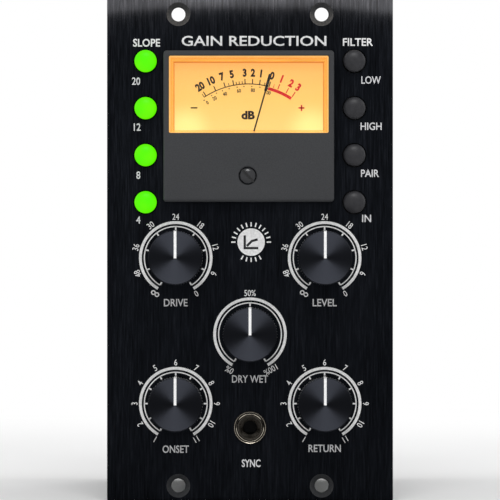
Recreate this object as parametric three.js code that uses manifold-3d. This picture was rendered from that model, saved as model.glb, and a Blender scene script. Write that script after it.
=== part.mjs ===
// Double-width rack compressor module: front panel with meter, knobs, buttons and jack,
// and behind it the sheet-metal chassis with the circuit boards.
// Millimetres. +X is right, +Y goes back into the rack, +Z is up.
// The origin is the middle of the front panel's rear face.

import * as THREE from 'three';
import { mergeVertices } from 'three/addons/utils/BufferGeometryUtils.js';
import Module from 'manifold-3d';

const wasm = await Module();
wasm.setup();

// ---- clearances ----
const fitGap = 0.3; // between mating pieces that aren't flat on each other
const roundSides = 20; // facets of a large round piece
const smallSides = 12; // facets of a small round piece
const hexSides = 6; // standoffs are hexagonal
const pinSides = 8; // facets of a pin
const ventCornerSteps = 2; // facets of a quarter of a slot's round end
const canCornerSteps = 3; // facets of a can's corner
const past = 1.0; // how far a cutter runs past a face, and a joined piece into its plate

// ---- front panel ----
const panelWidth = 76.0;
const panelHeight = 133.35;
const panelThickness = 3.2;
const panelCorner = 0.6;
const rackHolePitchX = 38.1;
const rackHolePitchZ = 125.4;
const rackHoleDiameter = 3.7;
const countersinkDiameter = 6.3;
const countersinkDepth = 1.5;
const railZone = 9.2; // height of the strip that lies on the rack's rail
const railLandDepth = 0.15; // that strip is milled to bare metal for the ground contact

// ---- chassis ----
const sheet = 1.2;
const sideInset = 1.0; // side plates stand in from the panel's edges
const chassisInset = 0.475; // and clear of the rail zone
const chassisDepth = 141.0;
const bendRadius = 1.6; // outside of a bend
const bendSteps = 2; // facets of a bend
const frontFlange = 5.2;
const rearFlange = 9.0;
const rearPlateInset = 0.5;
const ventWidth = 3.0;
const ventPitch = 9.0;
const sideVentHeight = 56.0;
const sideVentStart = 52.0; // first slot, from the panel
const sideVentCount = 8;
const rearVentHeight = 60.0;
const rearVentStart = -6.0; // first slot's X
const rearVentCount = 4;
const ventEndTrim = 0.01; // a slot's corner radius is this much under half its width

// ---- circuit boards ----
const boardThickness = 1.6;
const frontBoardGap = 12.0; // panel's rear face to the boards behind it
const boardMargin = 2.3; // front boards' edge to the side plates
const controlBoardTop = 7.5;
const controlBoardInset = 1.0; // control board's lower edge, in from the chassis height
const switchBoardInset = 1.5; // switch boards' upper edge
const switchBoardGap = 0.42; // switch boards to the meter bracket
const boardSplit = 0.5; // between the control board and the switch boards
const bigStandoffDiameter = 5.0;
const smallStandoffDiameter = 3.6;
const bigStandoffX = 28.3;
const bigStandoffUpperZ = 2.5;
const bigStandoffLowerZ = -52.5;
const smallStandoffRows = [0.5, 2.5]; // between the first two buttons, and between the last two
const mainBoardX = -19.05; // middle of the left rack slot, where the rack's edge connector is
const sidechainBoardX = 16.8;
const cardHeightInset = 5.0; // cards stop short of the chassis height by this much at each end
const cardFrontGap = 2.4; // header height between the control board and the cards
const cardNotchBack = 30.0; // the cards stand back here to clear the meter
const mainBoardBack = 139.3;
const sidechainBoardBack = 128.0;
const tongueEnd = 152.4; // tip of the card edge, six inches behind the panel
const tonguePositions = 15;
const tonguePitch = 3.96;
const tongueMargin = 0.55; // beyond the outer positions
const tongueChamfer = 1.5;
const tongueSlotClearance = 0.8;
const headerWidth = 5.2;
const headerBottomZ = -40.0;
const headerTopZ = 4.0;
const cardStandoffDiameter = 5.0;
const cardStandoffFrontY = 36.0;
const cardStandoffBackY = 122.0;
const cardStandoffZ = 46.0;

// ---- meter ----
const meterX = -0.33;
const meterZ = 32.87;
const bezelWidth = 45.3;
const bezelHeight = 40.2;
const bezelDepth = 4.2;
const bezelCorner = 0.7;
const bezelSideBorder = 1.45;
const bezelTopBorder = 1.4;
const windowHeight = 20.5;
const windowLedge = 1.2;
const windowLedgeThickness = 0.9;
const windowThickness = 0.9;
const windowRecess = 0.2;
const bezelLip = 1.0; // how far the bezel covers the panel round the cut-out
const meterWall = 1.2;
const meterCaseDepth = 27.2;
const dialThickness = 0.6;
const dialSetback = 1.4; // behind the bezel's rear face
const pivotZ = 26.65;
const needleLength = 21.0;
const needleRest = THREE.MathUtils.degToRad(15.56);
const needleWidth = 0.5;
const needleThickness = 0.4;
const needleTail = 4.0;
const needleDialGap = 1.8;
const hubDiameter = 3.2;
const hubThickness = 1.2;
const arborDiameter = 1.2;
const arborLength = 8.0;
const movementDiameter = 21.0;
const lampInset = 3.55; // from the meter case's inner wall
const lampZ = 29.4;
const lampDiameter = 3.0;
const lampLength = 8.0;
const zeroScrewX = -0.6;
const zeroScrewZ = 19.7;
const zeroScrewDiameter = 4.5;
const zeroScrewProud = 0.2;
const zeroSlotWidth = 0.7;
const zeroSlotDepth = 0.6;
const zeroSlotAngle = THREE.MathUtils.degToRad(45);
const zeroCollar = 0.9; // how far its rear collar stands out behind the bezel
const zeroCollarThickness = 0.8;
const zeroPinDiameter = 0.9;
const zeroPinOffset = 1.0;
const zeroPinLength = 0.8;
const bracketThickness = 1.0;
const bracketHeight = 8.0;

// ---- knobs and their potentiometers ----
const knobDiameter = 14.5;
const knobHeight = 13.0;
const knobGap = 0.6; // under the knob
const knobChamfer = 0.5;
const knobRecessDiameter = 11.5;
const knobRecessDepth = 2.5;
const shaftDiameter = 6.0;
const shaftInKnob = 9.0;
const shaftInPot = 4.5;
const shaftHoleClearance = 0.6;
const potWidth = 10.0;
const potHeight = 11.0;
const potDepth = 6.8;
const potCollarWall = 1.4;
const potCollarStandback = 2.3; // collar's front, behind the panel
const potPositions = {
  input: [-19.75, -2.1],
  output: [19.85, -2.1],
  mix: [0, -22.4],
  attack: [-19.75, -40.85],
  release: [19.85, -40.85],
};

// ---- push-buttons and their switches ----
const buttonFlangeGap = 0.5; // button's rear collar to the side plate's front flange
const buttonTopZ = 50.2;
const buttonPitch = 12.5;
const buttonCount = 4;
const capDiameter = 5.9;
const capProud = 2.6;
const capDome = 0.5;
const capShoulder = { radius: 0.6, drop: 0.3 }; // shares of the cap's radius and dome height
const capCollar = 0.6; // rear collar that keeps the cap behind the panel
const capCollarThickness = 1.0;
const capCollarGap = 0.4;
const buttonTravel = 1.8;
const stemDiameter = 2.8;
const stemLength = 6.6;
const switchSize = 8.0;
const switchStandback = 4.2;

// ---- jack ----
const jackZ = -47.2;
const jackBoreDiameter = 3.7;
const jackBoreDepth = 14.0;
const jackBushDiameter = 6.0;
const jackBushProud = 2.4;
const jackNutDiameter = 8.6;
const jackNutThickness = 1.9;
const jackNutChamfer = 0.55;
const jackBodyWidth = 8.0;
const jackBodyHeight = 9.0;

// ---- the large parts on the cards ----
const outputCan = { size: 28, height: 26.8, y: 115, z: -34, corner: 1.2 };
const inputCan = { size: 22, height: 22.8, y: 115, z: 33, corner: 1.2 };
const reservoir = { diameter: 16, height: 25, y: [62, 83], z: -38, shoulder: 0.9 };
const filmBox = { length: 18, width: 8, height: 14, y: 84, z: 34 };
const heatSink = {
  length: 26,
  base: 2.0,
  height: 12,
  finCount: 5,
  finWidth: 1.4,
  finPitch: 4.4,
  y: 106,
  z: 4,
};

// ---- derived places ----
const panelFront = -panelThickness;
const chassisHalfWidth = panelWidth / 2 - sideInset;
const chassisHalfHeight = panelHeight / 2 - railZone - chassisInset;
const plateInside = chassisHalfWidth - sheet;
const ventCorner = ventWidth / 2 - ventEndTrim;
const frontBoardRear = frontBoardGap + boardThickness;
const frontBoardHalfWidth = plateInside - boardMargin;
const cardHalfHeight = chassisHalfHeight - cardHeightInset;
const cardFront = frontBoardRear + cardFrontGap;
const tongueHalfHeight = (tonguePositions * tonguePitch) / 2 + tongueMargin;
const bezelFront = panelFront - bezelDepth;
const windowWidth = bezelWidth - 2 * bezelSideBorder;
const windowTop = meterZ + bezelHeight / 2 - bezelTopBorder;
const windowBottom = windowTop - windowHeight;
const windowRear = bezelFront + windowRecess + windowThickness;
const ledgeRear = windowRear + windowLedgeThickness;
const cutoutWidth = bezelWidth - 2 * bezelLip;
const cutoutHeight = bezelHeight - 2 * bezelLip;
const meterCaseWidth = cutoutWidth - 2 * fitGap;
const meterCaseHeight = cutoutHeight - 2 * fitGap;
const meterInsideWidth = meterCaseWidth - 2 * meterWall;
const meterInsideHeight = meterCaseHeight - 2 * meterWall;
const meterCaseRear = panelFront + meterCaseDepth;
const lampX = meterInsideWidth / 2 - lampInset;
const dialFront = panelFront + dialSetback;
const dialRear = dialFront + dialThickness;
const needleRear = dialFront - needleDialGap;
const knobRear = panelFront - knobGap;
const knobFront = knobRear - knobHeight;
const potFront = frontBoardGap - potDepth;
const capFront = panelFront - capProud;
const buttonX = chassisHalfWidth - frontFlange - buttonFlangeGap - capDiameter / 2 - capCollar;
const buttonColumns = { left: -buttonX, right: buttonX };
const buttonHeights = Array.from({ length: buttonCount }, (_, i) => buttonTopZ - i * buttonPitch);
const smallStandoffHeights = smallStandoffRows.map((row) => buttonTopZ - row * buttonPitch);

// ---- materials ----
function finish(color, roughness, metalness) {
  return new THREE.MeshStandardMaterial({ color, roughness, metalness });
}

const blackAnodised = finish(0x111214, 0.45, 0.8);
const blackSteel = finish(0x1b1c1e, 0.55, 0.3);
const plainSteel = finish(0xa9abad, 0.4, 0.9);
const nickel = finish(0xc9c3b6, 0.25, 1.0);
const greenBoard = finish(0x14432a, 0.5, 0.0);
const blackPlastic = finish(0x17181a, 0.5, 0.0);
const charcoalPlastic = finish(0x414246, 0.7, 0.0);
const clearPlastic = finish(0xe9edf0, 0.05, 0.0);
const amberCard = finish(0xffcc6b, 0.7, 0.0);
const lampGlass = finish(0xffe9b8, 0.2, 0.0);
const needleBlack = finish(0x0c0c0d, 0.5, 0.0);
const knobBlack = finish(0x15161a, 0.35, 0.7);
const litGreen = finish(0x4dff00, 0.4, 0.0);
const darkLens = finish(0x38383b, 0.35, 0.0);
const sleeveBlue = finish(0x20304c, 0.4, 0.0);
const filmRed = finish(0x8c2620, 0.5, 0.0);

// ---- solids ----
function toSolid(geometry) {
  const bare = geometry.clone();
  bare.deleteAttribute('normal');
  bare.deleteAttribute('uv');
  const merged = mergeVertices(bare, 1e-4);
  const triangles = [];
  const index = merged.index.array;
  for (let i = 0; i < index.length; i += 3) {
    const [a, b, c] = [index[i], index[i + 1], index[i + 2]];
    if (a !== b && b !== c && c !== a) triangles.push(a, b, c);
  }
  const vertProperties = new Float32Array(merged.attributes.position.array);
  const triVerts = new Uint32Array(triangles);
  return new wasm.Manifold(new wasm.Mesh({ numProp: 3, vertProperties, triVerts }));
}

function toGeometry(solid) {
  const mesh = solid.getMesh();
  const geometry = new THREE.BufferGeometry();
  geometry.setAttribute('position', new THREE.BufferAttribute(mesh.vertProperties, 3));
  geometry.setIndex(new THREE.BufferAttribute(mesh.triVerts, 1));
  geometry.computeVertexNormals();
  return geometry;
}

// The first geometry with the others joined to it or cut from it.
function join(base, ...others) {
  return toGeometry(others.reduce((solid, other) => solid.add(toSolid(other)), toSolid(base)));
}

function cut(base, ...tools) {
  return toGeometry(tools.reduce((solid, tool) => solid.subtract(toSolid(tool)), toSolid(base)));
}

// A block between two corners.
function block(x, y, z) {
  const geometry = new THREE.BoxGeometry(x[1] - x[0], y[1] - y[0], z[1] - z[0]);
  return geometry.translate((x[0] + x[1]) / 2, (y[0] + y[1]) / 2, (z[0] + z[1]) / 2);
}

// Two places on one side of the middle, lower one first.
function span(side, near, far) {
  return side > 0 ? [near, far] : [-far, -near];
}

// A turned piece about a front-to-back axis at X, Z. The profile is [radius, Y] from front to back.
function turned(x, z, profile, sides = roundSides) {
  const points = profile.map(([radius, y]) => new THREE.Vector2(radius, y));
  return new THREE.LatheGeometry(points, sides).translate(x, 0, z);
}

// A round bar between two Y places.
function barY(x, z, diameter, front, rear, sides = roundSides) {
  const radius = diameter / 2;
  return turned(x, z, [[0, front], [radius, front], [radius, rear], [0, rear]], sides);
}

// A round bar between two X places.
function barX(y, z, diameter, left, right, sides) {
  const bar = new THREE.CylinderGeometry(diameter / 2, diameter / 2, right - left, sides);
  return bar.rotateZ(-Math.PI / 2).translate((left + right) / 2, y, z);
}

function rectangle(width, height, corner, x = 0, y = 0) {
  const [left, right, low, high] = [x - width / 2, x + width / 2, y - height / 2, y + height / 2];
  const shape = new THREE.Shape();
  shape.moveTo(left + corner, low);
  shape.absarc(right - corner, low + corner, corner, -Math.PI / 2, 0);
  shape.absarc(right - corner, high - corner, corner, 0, Math.PI / 2);
  shape.absarc(left + corner, high - corner, corner, Math.PI / 2, Math.PI);
  shape.absarc(left + corner, low + corner, corner, Math.PI, Math.PI * 1.5);
  shape.closePath();
  return shape;
}

function polygon(points) {
  return new THREE.Shape(points.map(([x, y]) => new THREE.Vector2(x, y)));
}

function extrude(shape, depth, curveSegments = 4) {
  return new THREE.ExtrudeGeometry(shape, { depth, bevelEnabled: false, curveSegments });
}

// A plate parallel to the panel: the outline is X, Z and the plate lies between two Y places.
function facePlate(shape, front, rear, curveSegments) {
  return extrude(shape, rear - front, curveSegments).rotateX(Math.PI / 2).translate(0, rear, 0);
}

// A plate that stands front to back: the outline is Y, Z and the plate lies between two X places.
function sidePlate(shape, left, right, curveSegments) {
  const turn = new THREE.Matrix4().makeBasis(
    new THREE.Vector3(0, 1, 0),
    new THREE.Vector3(0, 0, 1),
    new THREE.Vector3(1, 0, 0),
  );
  return extrude(shape, right - left, curveSegments).applyMatrix4(turn).translate(left, 0, 0);
}

// ---- assembly ----
const compressor = new THREE.Group();

function addPart(name, geometry, material) {
  const mesh = new THREE.Mesh(geometry, material);
  mesh.name = name;
  compressor.add(mesh);
}

// ---- front panel with its press-in standoffs ----
function makeFrontPanel() {
  const cutouts = [block(
    [meterX - cutoutWidth / 2, meterX + cutoutWidth / 2],
    [panelFront - past, past],
    [meterZ - cutoutHeight / 2, meterZ + cutoutHeight / 2],
  )];
  for (const x of [-rackHolePitchX / 2, rackHolePitchX / 2]) {
    for (const z of [-rackHolePitchZ / 2, rackHolePitchZ / 2]) {
      cutouts.push(turned(x, z, [
        [0, panelFront - past],
        [countersinkDiameter / 2, panelFront - past],
        [countersinkDiameter / 2, panelFront],
        [rackHoleDiameter / 2, panelFront + countersinkDepth],
        [rackHoleDiameter / 2, past],
        [0, past],
      ]));
    }
  }
  for (const [x, z] of Object.values(potPositions)) {
    cutouts.push(barY(x, z, shaftDiameter + 2 * shaftHoleClearance, panelFront - past, past));
  }
  for (const x of Object.values(buttonColumns)) {
    for (const z of buttonHeights) {
      cutouts.push(barY(x, z, capDiameter + 2 * fitGap, panelFront - past, past, smallSides));
    }
  }
  cutouts.push(barY(0, jackZ, jackBushDiameter + 2 * fitGap, panelFront - past, past));
  for (const side of [-1, 1]) {
    const edges = span(side, panelHeight / 2 - railZone, panelHeight / 2 + past);
    cutouts.push(block([-panelWidth / 2 - past, panelWidth / 2 + past], [-railLandDepth, past], edges));
  }
  const plate = facePlate(rectangle(panelWidth, panelHeight, panelCorner), panelFront, 0);
  const standoffs = [];
  for (const side of [-1, 1]) {
    for (const z of [bigStandoffLowerZ, bigStandoffUpperZ]) {
      standoffs.push(barY(side * bigStandoffX, z, bigStandoffDiameter, -past, frontBoardGap, hexSides));
    }
    for (const z of smallStandoffHeights) {
      standoffs.push(barY(side * buttonX, z, smallStandoffDiameter, -past, frontBoardGap, hexSides));
    }
  }
  return join(cut(plate, ...cutouts), ...standoffs);
}

addPart('front_panel', makeFrontPanel(), blackAnodised);

// ---- side plates: folded sheet with a flange at each end, vent slots and card standoffs ----
function makeSidePlate(side, cardFace) {
  const [outside, inside] = [chassisHalfWidth, plateInside];
  const bendInside = bendRadius - sheet;
  const shape = new THREE.Shape();
  const mirrored = side < 0;
  const turn = (angle) => (mirrored ? Math.PI - angle : angle);
  function bend(y, radius, from, to) {
    const clockwise = mirrored ? to > from : to < from;
    shape.absarc(side * (outside - bendRadius), y, radius, turn(from), turn(to), clockwise);
  }
  shape.moveTo(side * (outside - frontFlange), 0);
  bend(bendRadius, bendRadius, -Math.PI / 2, 0);
  bend(chassisDepth - bendRadius, bendRadius, 0, Math.PI / 2);
  shape.lineTo(side * (outside - rearFlange), chassisDepth);
  shape.lineTo(side * (outside - rearFlange), chassisDepth - sheet);
  bend(chassisDepth - bendRadius, bendInside, Math.PI / 2, 0);
  bend(bendRadius, bendInside, 0, -Math.PI / 2);
  shape.lineTo(side * (outside - frontFlange), sheet);
  shape.closePath();
  const folded = extrude(shape, 2 * chassisHalfHeight, bendSteps).translate(0, 0, -chassisHalfHeight);
  const vents = [];
  for (let i = 0; i < sideVentCount; i += 1) {
    const slot = rectangle(ventWidth, sideVentHeight, ventCorner, sideVentStart + i * ventPitch, 0);
    vents.push(sidePlate(slot, ...span(side, inside - past, outside + past), ventCornerSteps));
  }
  const standoffs = [];
  for (const y of [cardStandoffFrontY, cardStandoffBackY]) {
    for (const z of [-cardStandoffZ, cardStandoffZ]) {
      const [left, right] = span(side, Math.abs(cardFace), outside - sheet / 2);
      standoffs.push(barX(y, z, cardStandoffDiameter, left, right, hexSides));
    }
  }
  return join(cut(folded, ...vents), ...standoffs);
}

addPart('left_side_plate', makeSidePlate(-1, mainBoardX - boardThickness / 2), blackSteel);
addPart('right_side_plate', makeSidePlate(1, sidechainBoardX + boardThickness / 2), blackSteel);

// ---- rear plate with the slot for the card edge ----
function makeRearPlate() {
  const width = 2 * (chassisHalfWidth - rearPlateInset);
  const height = 2 * (chassisHalfHeight - rearPlateInset);
  const plate = rectangle(width, height, panelCorner);
  const slotWidth = boardThickness + 2 * tongueSlotClearance;
  const slotHeight = 2 * (tongueHalfHeight + tongueSlotClearance);
  plate.holes.push(rectangle(slotWidth, slotHeight, slotWidth / 4, mainBoardX, 0));
  for (let i = 0; i < rearVentCount; i += 1) {
    const x = rearVentStart + i * ventPitch;
    plate.holes.push(rectangle(ventWidth, rearVentHeight, ventCorner, x, 0));
  }
  return facePlate(plate, chassisDepth, chassisDepth + sheet, ventCornerSteps);
}

addPart('rear_plate', makeRearPlate(), blackSteel);

// ---- boards behind the panel ----
addPart('control_board', block(
  [-frontBoardHalfWidth, frontBoardHalfWidth],
  [frontBoardGap, frontBoardRear],
  [-chassisHalfHeight + controlBoardInset, controlBoardTop],
), greenBoard);

const bracketReach = meterCaseWidth / 2 + Math.abs(meterX) + fitGap + bracketThickness;
const switchBoardInner = bracketReach + switchBoardGap;
for (const [side, x] of Object.entries(buttonColumns)) {
  addPart(`${side}_switch_board`, block(
    span(x, switchBoardInner, frontBoardHalfWidth),
    [frontBoardGap, frontBoardRear],
    [controlBoardTop + boardSplit, chassisHalfHeight - switchBoardInset],
  ), greenBoard);
}

// ---- cards that stand front to back, notched above the control board to clear the meter ----
function makeCard(middle, back, tongue) {
  const [low, high] = [-cardHalfHeight, cardHalfHeight];
  const end = tongueHalfHeight;
  const outline = [[cardFront, low], [back, low]];
  if (tongue) {
    outline.push([back, -end], [tongueEnd - tongueChamfer, -end], [tongueEnd, -end + tongueChamfer]);
    outline.push([tongueEnd, end - tongueChamfer], [tongueEnd - tongueChamfer, end], [back, end]);
  }
  outline.push([back, high], [cardNotchBack, high]);
  outline.push([cardNotchBack, controlBoardTop], [cardFront, controlBoardTop]);
  return sidePlate(polygon(outline), middle - boardThickness / 2, middle + boardThickness / 2);
}

addPart('main_board', makeCard(mainBoardX, mainBoardBack, true), greenBoard);
addPart('sidechain_board', makeCard(sidechainBoardX, sidechainBoardBack, false), greenBoard);

for (const [name, x] of [['main_header', mainBoardX], ['sidechain_header', sidechainBoardX]]) {
  addPart(name, block(
    [x - headerWidth / 2, x + headerWidth / 2],
    [frontBoardRear, cardFront],
    [headerBottomZ, headerTopZ],
  ), blackPlastic);
}

// ---- meter ----
function makeBezel() {
  const outline = rectangle(bezelWidth, bezelHeight, bezelCorner, meterX, meterZ);
  const outside = facePlate(outline, bezelFront, panelFront);
  const windowX = [meterX - windowWidth / 2, meterX + windowWidth / 2];
  const insideX = [windowX[0] + windowLedge, windowX[1] - windowLedge];
  const insideBottom = meterZ - meterInsideHeight / 2;
  const throughY = [bezelFront - past, panelFront + past];
  return cut(
    outside,
    block(windowX, [bezelFront - past, windowRear], [windowBottom, windowTop]),
    block(insideX, throughY, [windowBottom + windowLedge, windowTop - windowLedge]),
    block(insideX, [ledgeRear, panelFront + past], [insideBottom, windowTop - windowLedge]),
    barY(zeroScrewX, zeroScrewZ, zeroScrewDiameter + 2 * fitGap, ...throughY),
  );
}

function makeMeterCase() {
  const spanX = (width) => [meterX - width / 2, meterX + width / 2];
  const spanZ = (height) => [meterZ - height / 2, meterZ + height / 2];
  const insideY = [panelFront - past, meterCaseRear - meterWall];
  return cut(
    block(spanX(meterCaseWidth), [panelFront, meterCaseRear], spanZ(meterCaseHeight)),
    block(spanX(meterInsideWidth), insideY, spanZ(meterInsideHeight)),
  );
}

function makeDial() {
  const [width, height] = [meterInsideWidth, meterInsideHeight].map((size) => size - 2 * fitGap);
  const dial = rectangle(width, height, bezelCorner, meterX, meterZ);
  const holes = [
    [meterX, pivotZ, arborDiameter],
    [meterX - lampX, lampZ, lampDiameter],
    [meterX + lampX, lampZ, lampDiameter],
  ];
  for (const [x, z, diameter] of holes) {
    dial.holes.push(new THREE.Path().absarc(x, z, diameter / 2 + fitGap, 0, 2 * Math.PI));
  }
  return facePlate(dial, dialFront, dialRear, smallSides / 4);
}

function makeMovement() {
  const body = barY(meterX, pivotZ, movementDiameter, dialRear, meterCaseRear - meterWall);
  const boreDiameter = arborDiameter + 2 * fitGap;
  const bore = barY(meterX, pivotZ, boreDiameter, dialRear - past, dialRear + arborLength, smallSides);
  return cut(body, bore);
}

// Needle, hub and arbor, turned to where the needle stands at rest.
function makeNeedle() {
  const hub = turned(0, 0, [
    [0, needleRear - hubThickness],
    [hubDiameter / 2, needleRear - hubThickness],
    [hubDiameter / 2, needleRear + needleThickness],
    [arborDiameter / 2, needleRear + needleThickness],
    [arborDiameter / 2, dialRear + arborLength - fitGap],
    [0, dialRear + arborLength - fitGap],
  ], smallSides);
  const blade = polygon([
    [-needleWidth / 2, -needleTail],
    [needleWidth / 2, -needleTail],
    [needleWidth / 2, needleLength - needleWidth],
    [0, needleLength],
    [-needleWidth / 2, needleLength - needleWidth],
  ]);
  const needle = join(hub, facePlate(blade, needleRear - needleThickness, needleRear));
  return needle.rotateY(needleRest).translate(meterX, 0, pivotZ);
}

function makeZeroScrew() {
  const front = bezelFront - zeroScrewProud;
  const collarFront = ledgeRear + fitGap;
  const collarRear = collarFront + zeroCollarThickness;
  const screw = turned(0, 0, [
    [0, front],
    [zeroScrewDiameter / 2, front],
    [zeroScrewDiameter / 2, collarFront],
    [zeroScrewDiameter / 2 + zeroCollar, collarFront],
    [zeroScrewDiameter / 2 + zeroCollar, collarRear],
    [0, collarRear],
  ]);
  const half = zeroScrewDiameter;
  const slotEdge = zeroSlotWidth / 2;
  const slot = block([-half, half], [front - past, front + zeroSlotDepth], [-slotEdge, slotEdge]);
  const pinFront = collarRear - zeroCollarThickness / 2;
  const pin = barY(zeroPinOffset, 0, zeroPinDiameter, pinFront, collarRear + zeroPinLength, pinSides);
  return join(cut(screw, slot.rotateY(zeroSlotAngle)), pin).translate(zeroScrewX, 0, zeroScrewZ);
}

function makeMeterBracket() {
  const inner = meterCaseWidth / 2 + fitGap;
  const outer = inner + bracketThickness;
  const spanZ = [meterZ - bracketHeight / 2, meterZ + bracketHeight / 2];
  return cut(
    block([meterX - outer, meterX + outer], [0, meterCaseRear + bracketThickness], spanZ),
    block([meterX - inner, meterX + inner], [-past, meterCaseRear], [spanZ[0] - past, spanZ[1] + past]),
  );
}

addPart('meter_bezel', makeBezel(), charcoalPlastic);
addPart('meter_window', block(
  [meterX - windowWidth / 2 + fitGap, meterX + windowWidth / 2 - fitGap],
  [windowRear - windowThickness, windowRear],
  [windowBottom + fitGap, windowTop - fitGap],
), clearPlastic);
addPart('meter_case', makeMeterCase(), blackPlastic);
addPart('meter_dial', makeDial(), amberCard);
addPart('meter_movement', makeMovement(), plainSteel);
addPart('meter_needle', makeNeedle(), needleBlack);
addPart('meter_zero_screw', makeZeroScrew(), blackPlastic);
addPart('meter_bracket', makeMeterBracket(), plainSteel);
for (const [side, sign] of [['left', -1], ['right', 1]]) {
  const lamp = turned(meterX + sign * lampX, lampZ, [
    [0, dialFront - lampDiameter / 2],
    [lampDiameter / 3, dialFront - lampDiameter / 3],
    [lampDiameter / 2, dialFront],
    [lampDiameter / 2, dialFront + lampLength],
    [0, dialFront + lampLength],
  ], smallSides);
  addPart(`meter_lamp_${side}`, lamp, lampGlass);
}

// ---- knobs, shafts and potentiometers ----
const shaftBore = shaftDiameter + 2 * fitGap;
for (const [name, [x, z]] of Object.entries(potPositions)) {
  const rim = knobDiameter / 2;
  const recess = knobRecessDiameter / 2;
  const boreEnd = knobRear - shaftInKnob - fitGap;
  const shaftFront = knobRear - shaftInKnob;
  const shaftRear = potFront + shaftInPot;
  addPart(`${name}_knob`, turned(x, z, [
    [0, knobFront],
    [rim - knobChamfer, knobFront],
    [rim, knobFront + knobChamfer],
    [rim, knobRear],
    [recess, knobRear],
    [recess, knobRear - knobRecessDepth],
    [shaftBore / 2, knobRear - knobRecessDepth],
    [shaftBore / 2, boreEnd],
    [0, boreEnd],
  ]), knobBlack);
  addPart(`${name}_pot_shaft`, barY(x, z, shaftDiameter, shaftFront, shaftRear, smallSides), nickel);
  const collar = barY(x, z, shaftBore + 2 * potCollarWall, potCollarStandback, potFront + past, smallSides);
  const body = block(
    [x - potWidth / 2, x + potWidth / 2],
    [potFront, frontBoardGap],
    [z - potHeight / 2, z + potHeight / 2],
  );
  const bore = barY(x, z, shaftBore, 0, shaftRear + fitGap, smallSides);
  addPart(`${name}_pot`, cut(join(body, collar), bore), plainSteel);
}

// ---- push-buttons and switches ----
const collarFrontY = capCollarGap;
const collarRearY = collarFrontY + capCollarThickness;
for (const [side, x] of Object.entries(buttonColumns)) {
  buttonHeights.forEach((z, row) => {
    const radius = capDiameter / 2;
    const stemEnd = collarRearY + stemLength;
    addPart(`${side}_button_${row + 1}`, turned(x, z, [
      [0, capFront],
      [radius * capShoulder.radius, capFront + capDome * capShoulder.drop],
      [radius, capFront + capDome],
      [radius, collarFrontY],
      [radius + capCollar, collarFrontY],
      [radius + capCollar, collarRearY],
      [stemDiameter / 2, collarRearY],
      [stemDiameter / 2, stemEnd],
      [0, stemEnd],
    ], smallSides), side === 'left' ? litGreen : darkLens);
    const body = block(
      [x - switchSize / 2, x + switchSize / 2],
      [switchStandback, frontBoardGap],
      [z - switchSize / 2, z + switchSize / 2],
    );
    const bore = barY(x, z, stemDiameter + 2 * fitGap, 0, stemEnd + buttonTravel + fitGap, smallSides);
    addPart(`${side}_switch_${row + 1}`, cut(body, bore), blackPlastic);
  });
}

// ---- jack ----
function makeJackBody() {
  const bushFront = panelFront - jackBushProud;
  const body = block(
    [-jackBodyWidth / 2, jackBodyWidth / 2],
    [0, frontBoardGap],
    [jackZ - jackBodyHeight / 2, jackZ + jackBodyHeight / 2],
  );
  const bush = barY(0, jackZ, jackBushDiameter, bushFront, past);
  const bore = barY(0, jackZ, jackBoreDiameter, bushFront - past, bushFront + jackBoreDepth);
  return cut(join(body, bush), bore);
}

const jackNutBore = jackBushDiameter / 2 + fitGap;
const jackNutFront = panelFront - jackNutThickness;
addPart('jack_body', makeJackBody(), nickel);
addPart('jack_nut', turned(0, jackZ, [
  [jackNutBore, jackNutFront],
  [jackNutDiameter / 2 - jackNutChamfer, jackNutFront],
  [jackNutDiameter / 2, jackNutFront + jackNutChamfer],
  [jackNutDiameter / 2, panelFront],
  [jackNutBore, panelFront],
  [jackNutBore, jackNutFront],
]), nickel);

// ---- transformers, capacitors and heat sink on the cards ----
const mainBoardFace = mainBoardX + boardThickness / 2;
const sidechainFace = sidechainBoardX - boardThickness / 2;

function makeCan({ size, height, y, z, corner }) {
  const outline = rectangle(size, size, corner, y, z);
  return sidePlate(outline, mainBoardFace, mainBoardFace + height, canCornerSteps);
}

addPart('output_transformer', makeCan(outputCan), plainSteel);
addPart('input_transformer', makeCan(inputCan), plainSteel);

reservoir.y.forEach((y, i) => {
  const radius = reservoir.diameter / 2;
  const capacitor = turned(0, 0, [
    [0, 0],
    [radius, 0],
    [radius, reservoir.height - reservoir.shoulder],
    [radius - reservoir.shoulder, reservoir.height],
    [0, reservoir.height],
  ]);
  capacitor.rotateZ(-Math.PI / 2).translate(mainBoardFace, y, reservoir.z);
  addPart(`reservoir_capacitor_${i + 1}`, capacitor, sleeveBlue);
});

addPart('film_capacitor', block(
  [mainBoardFace, mainBoardFace + filmBox.height],
  [filmBox.y - filmBox.length / 2, filmBox.y + filmBox.length / 2],
  [filmBox.z - filmBox.width / 2, filmBox.z + filmBox.width / 2],
), filmRed);

function makeHeatSink() {
  const spanZ = heatSink.finPitch * (heatSink.finCount - 1) + heatSink.finWidth;
  const spanY = [heatSink.y - heatSink.length / 2, heatSink.y + heatSink.length / 2];
  const bottom = heatSink.z - spanZ / 2;
  const base = block([sidechainFace - heatSink.base, sidechainFace], spanY, [bottom, bottom + spanZ]);
  const finX = [sidechainFace - heatSink.height, sidechainFace - heatSink.base / 2];
  const fins = Array.from({ length: heatSink.finCount }, (_, i) => {
    const z = bottom + i * heatSink.finPitch;
    return block(finX, spanY, [z, z + heatSink.finWidth]);
  });
  return join(base, ...fins);
}

addPart('regulator_heat_sink', makeHeatSink(), blackAnodised);

export default compressor;
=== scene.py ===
import math
import random

import bpy
from mathutils import Matrix, Vector


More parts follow.
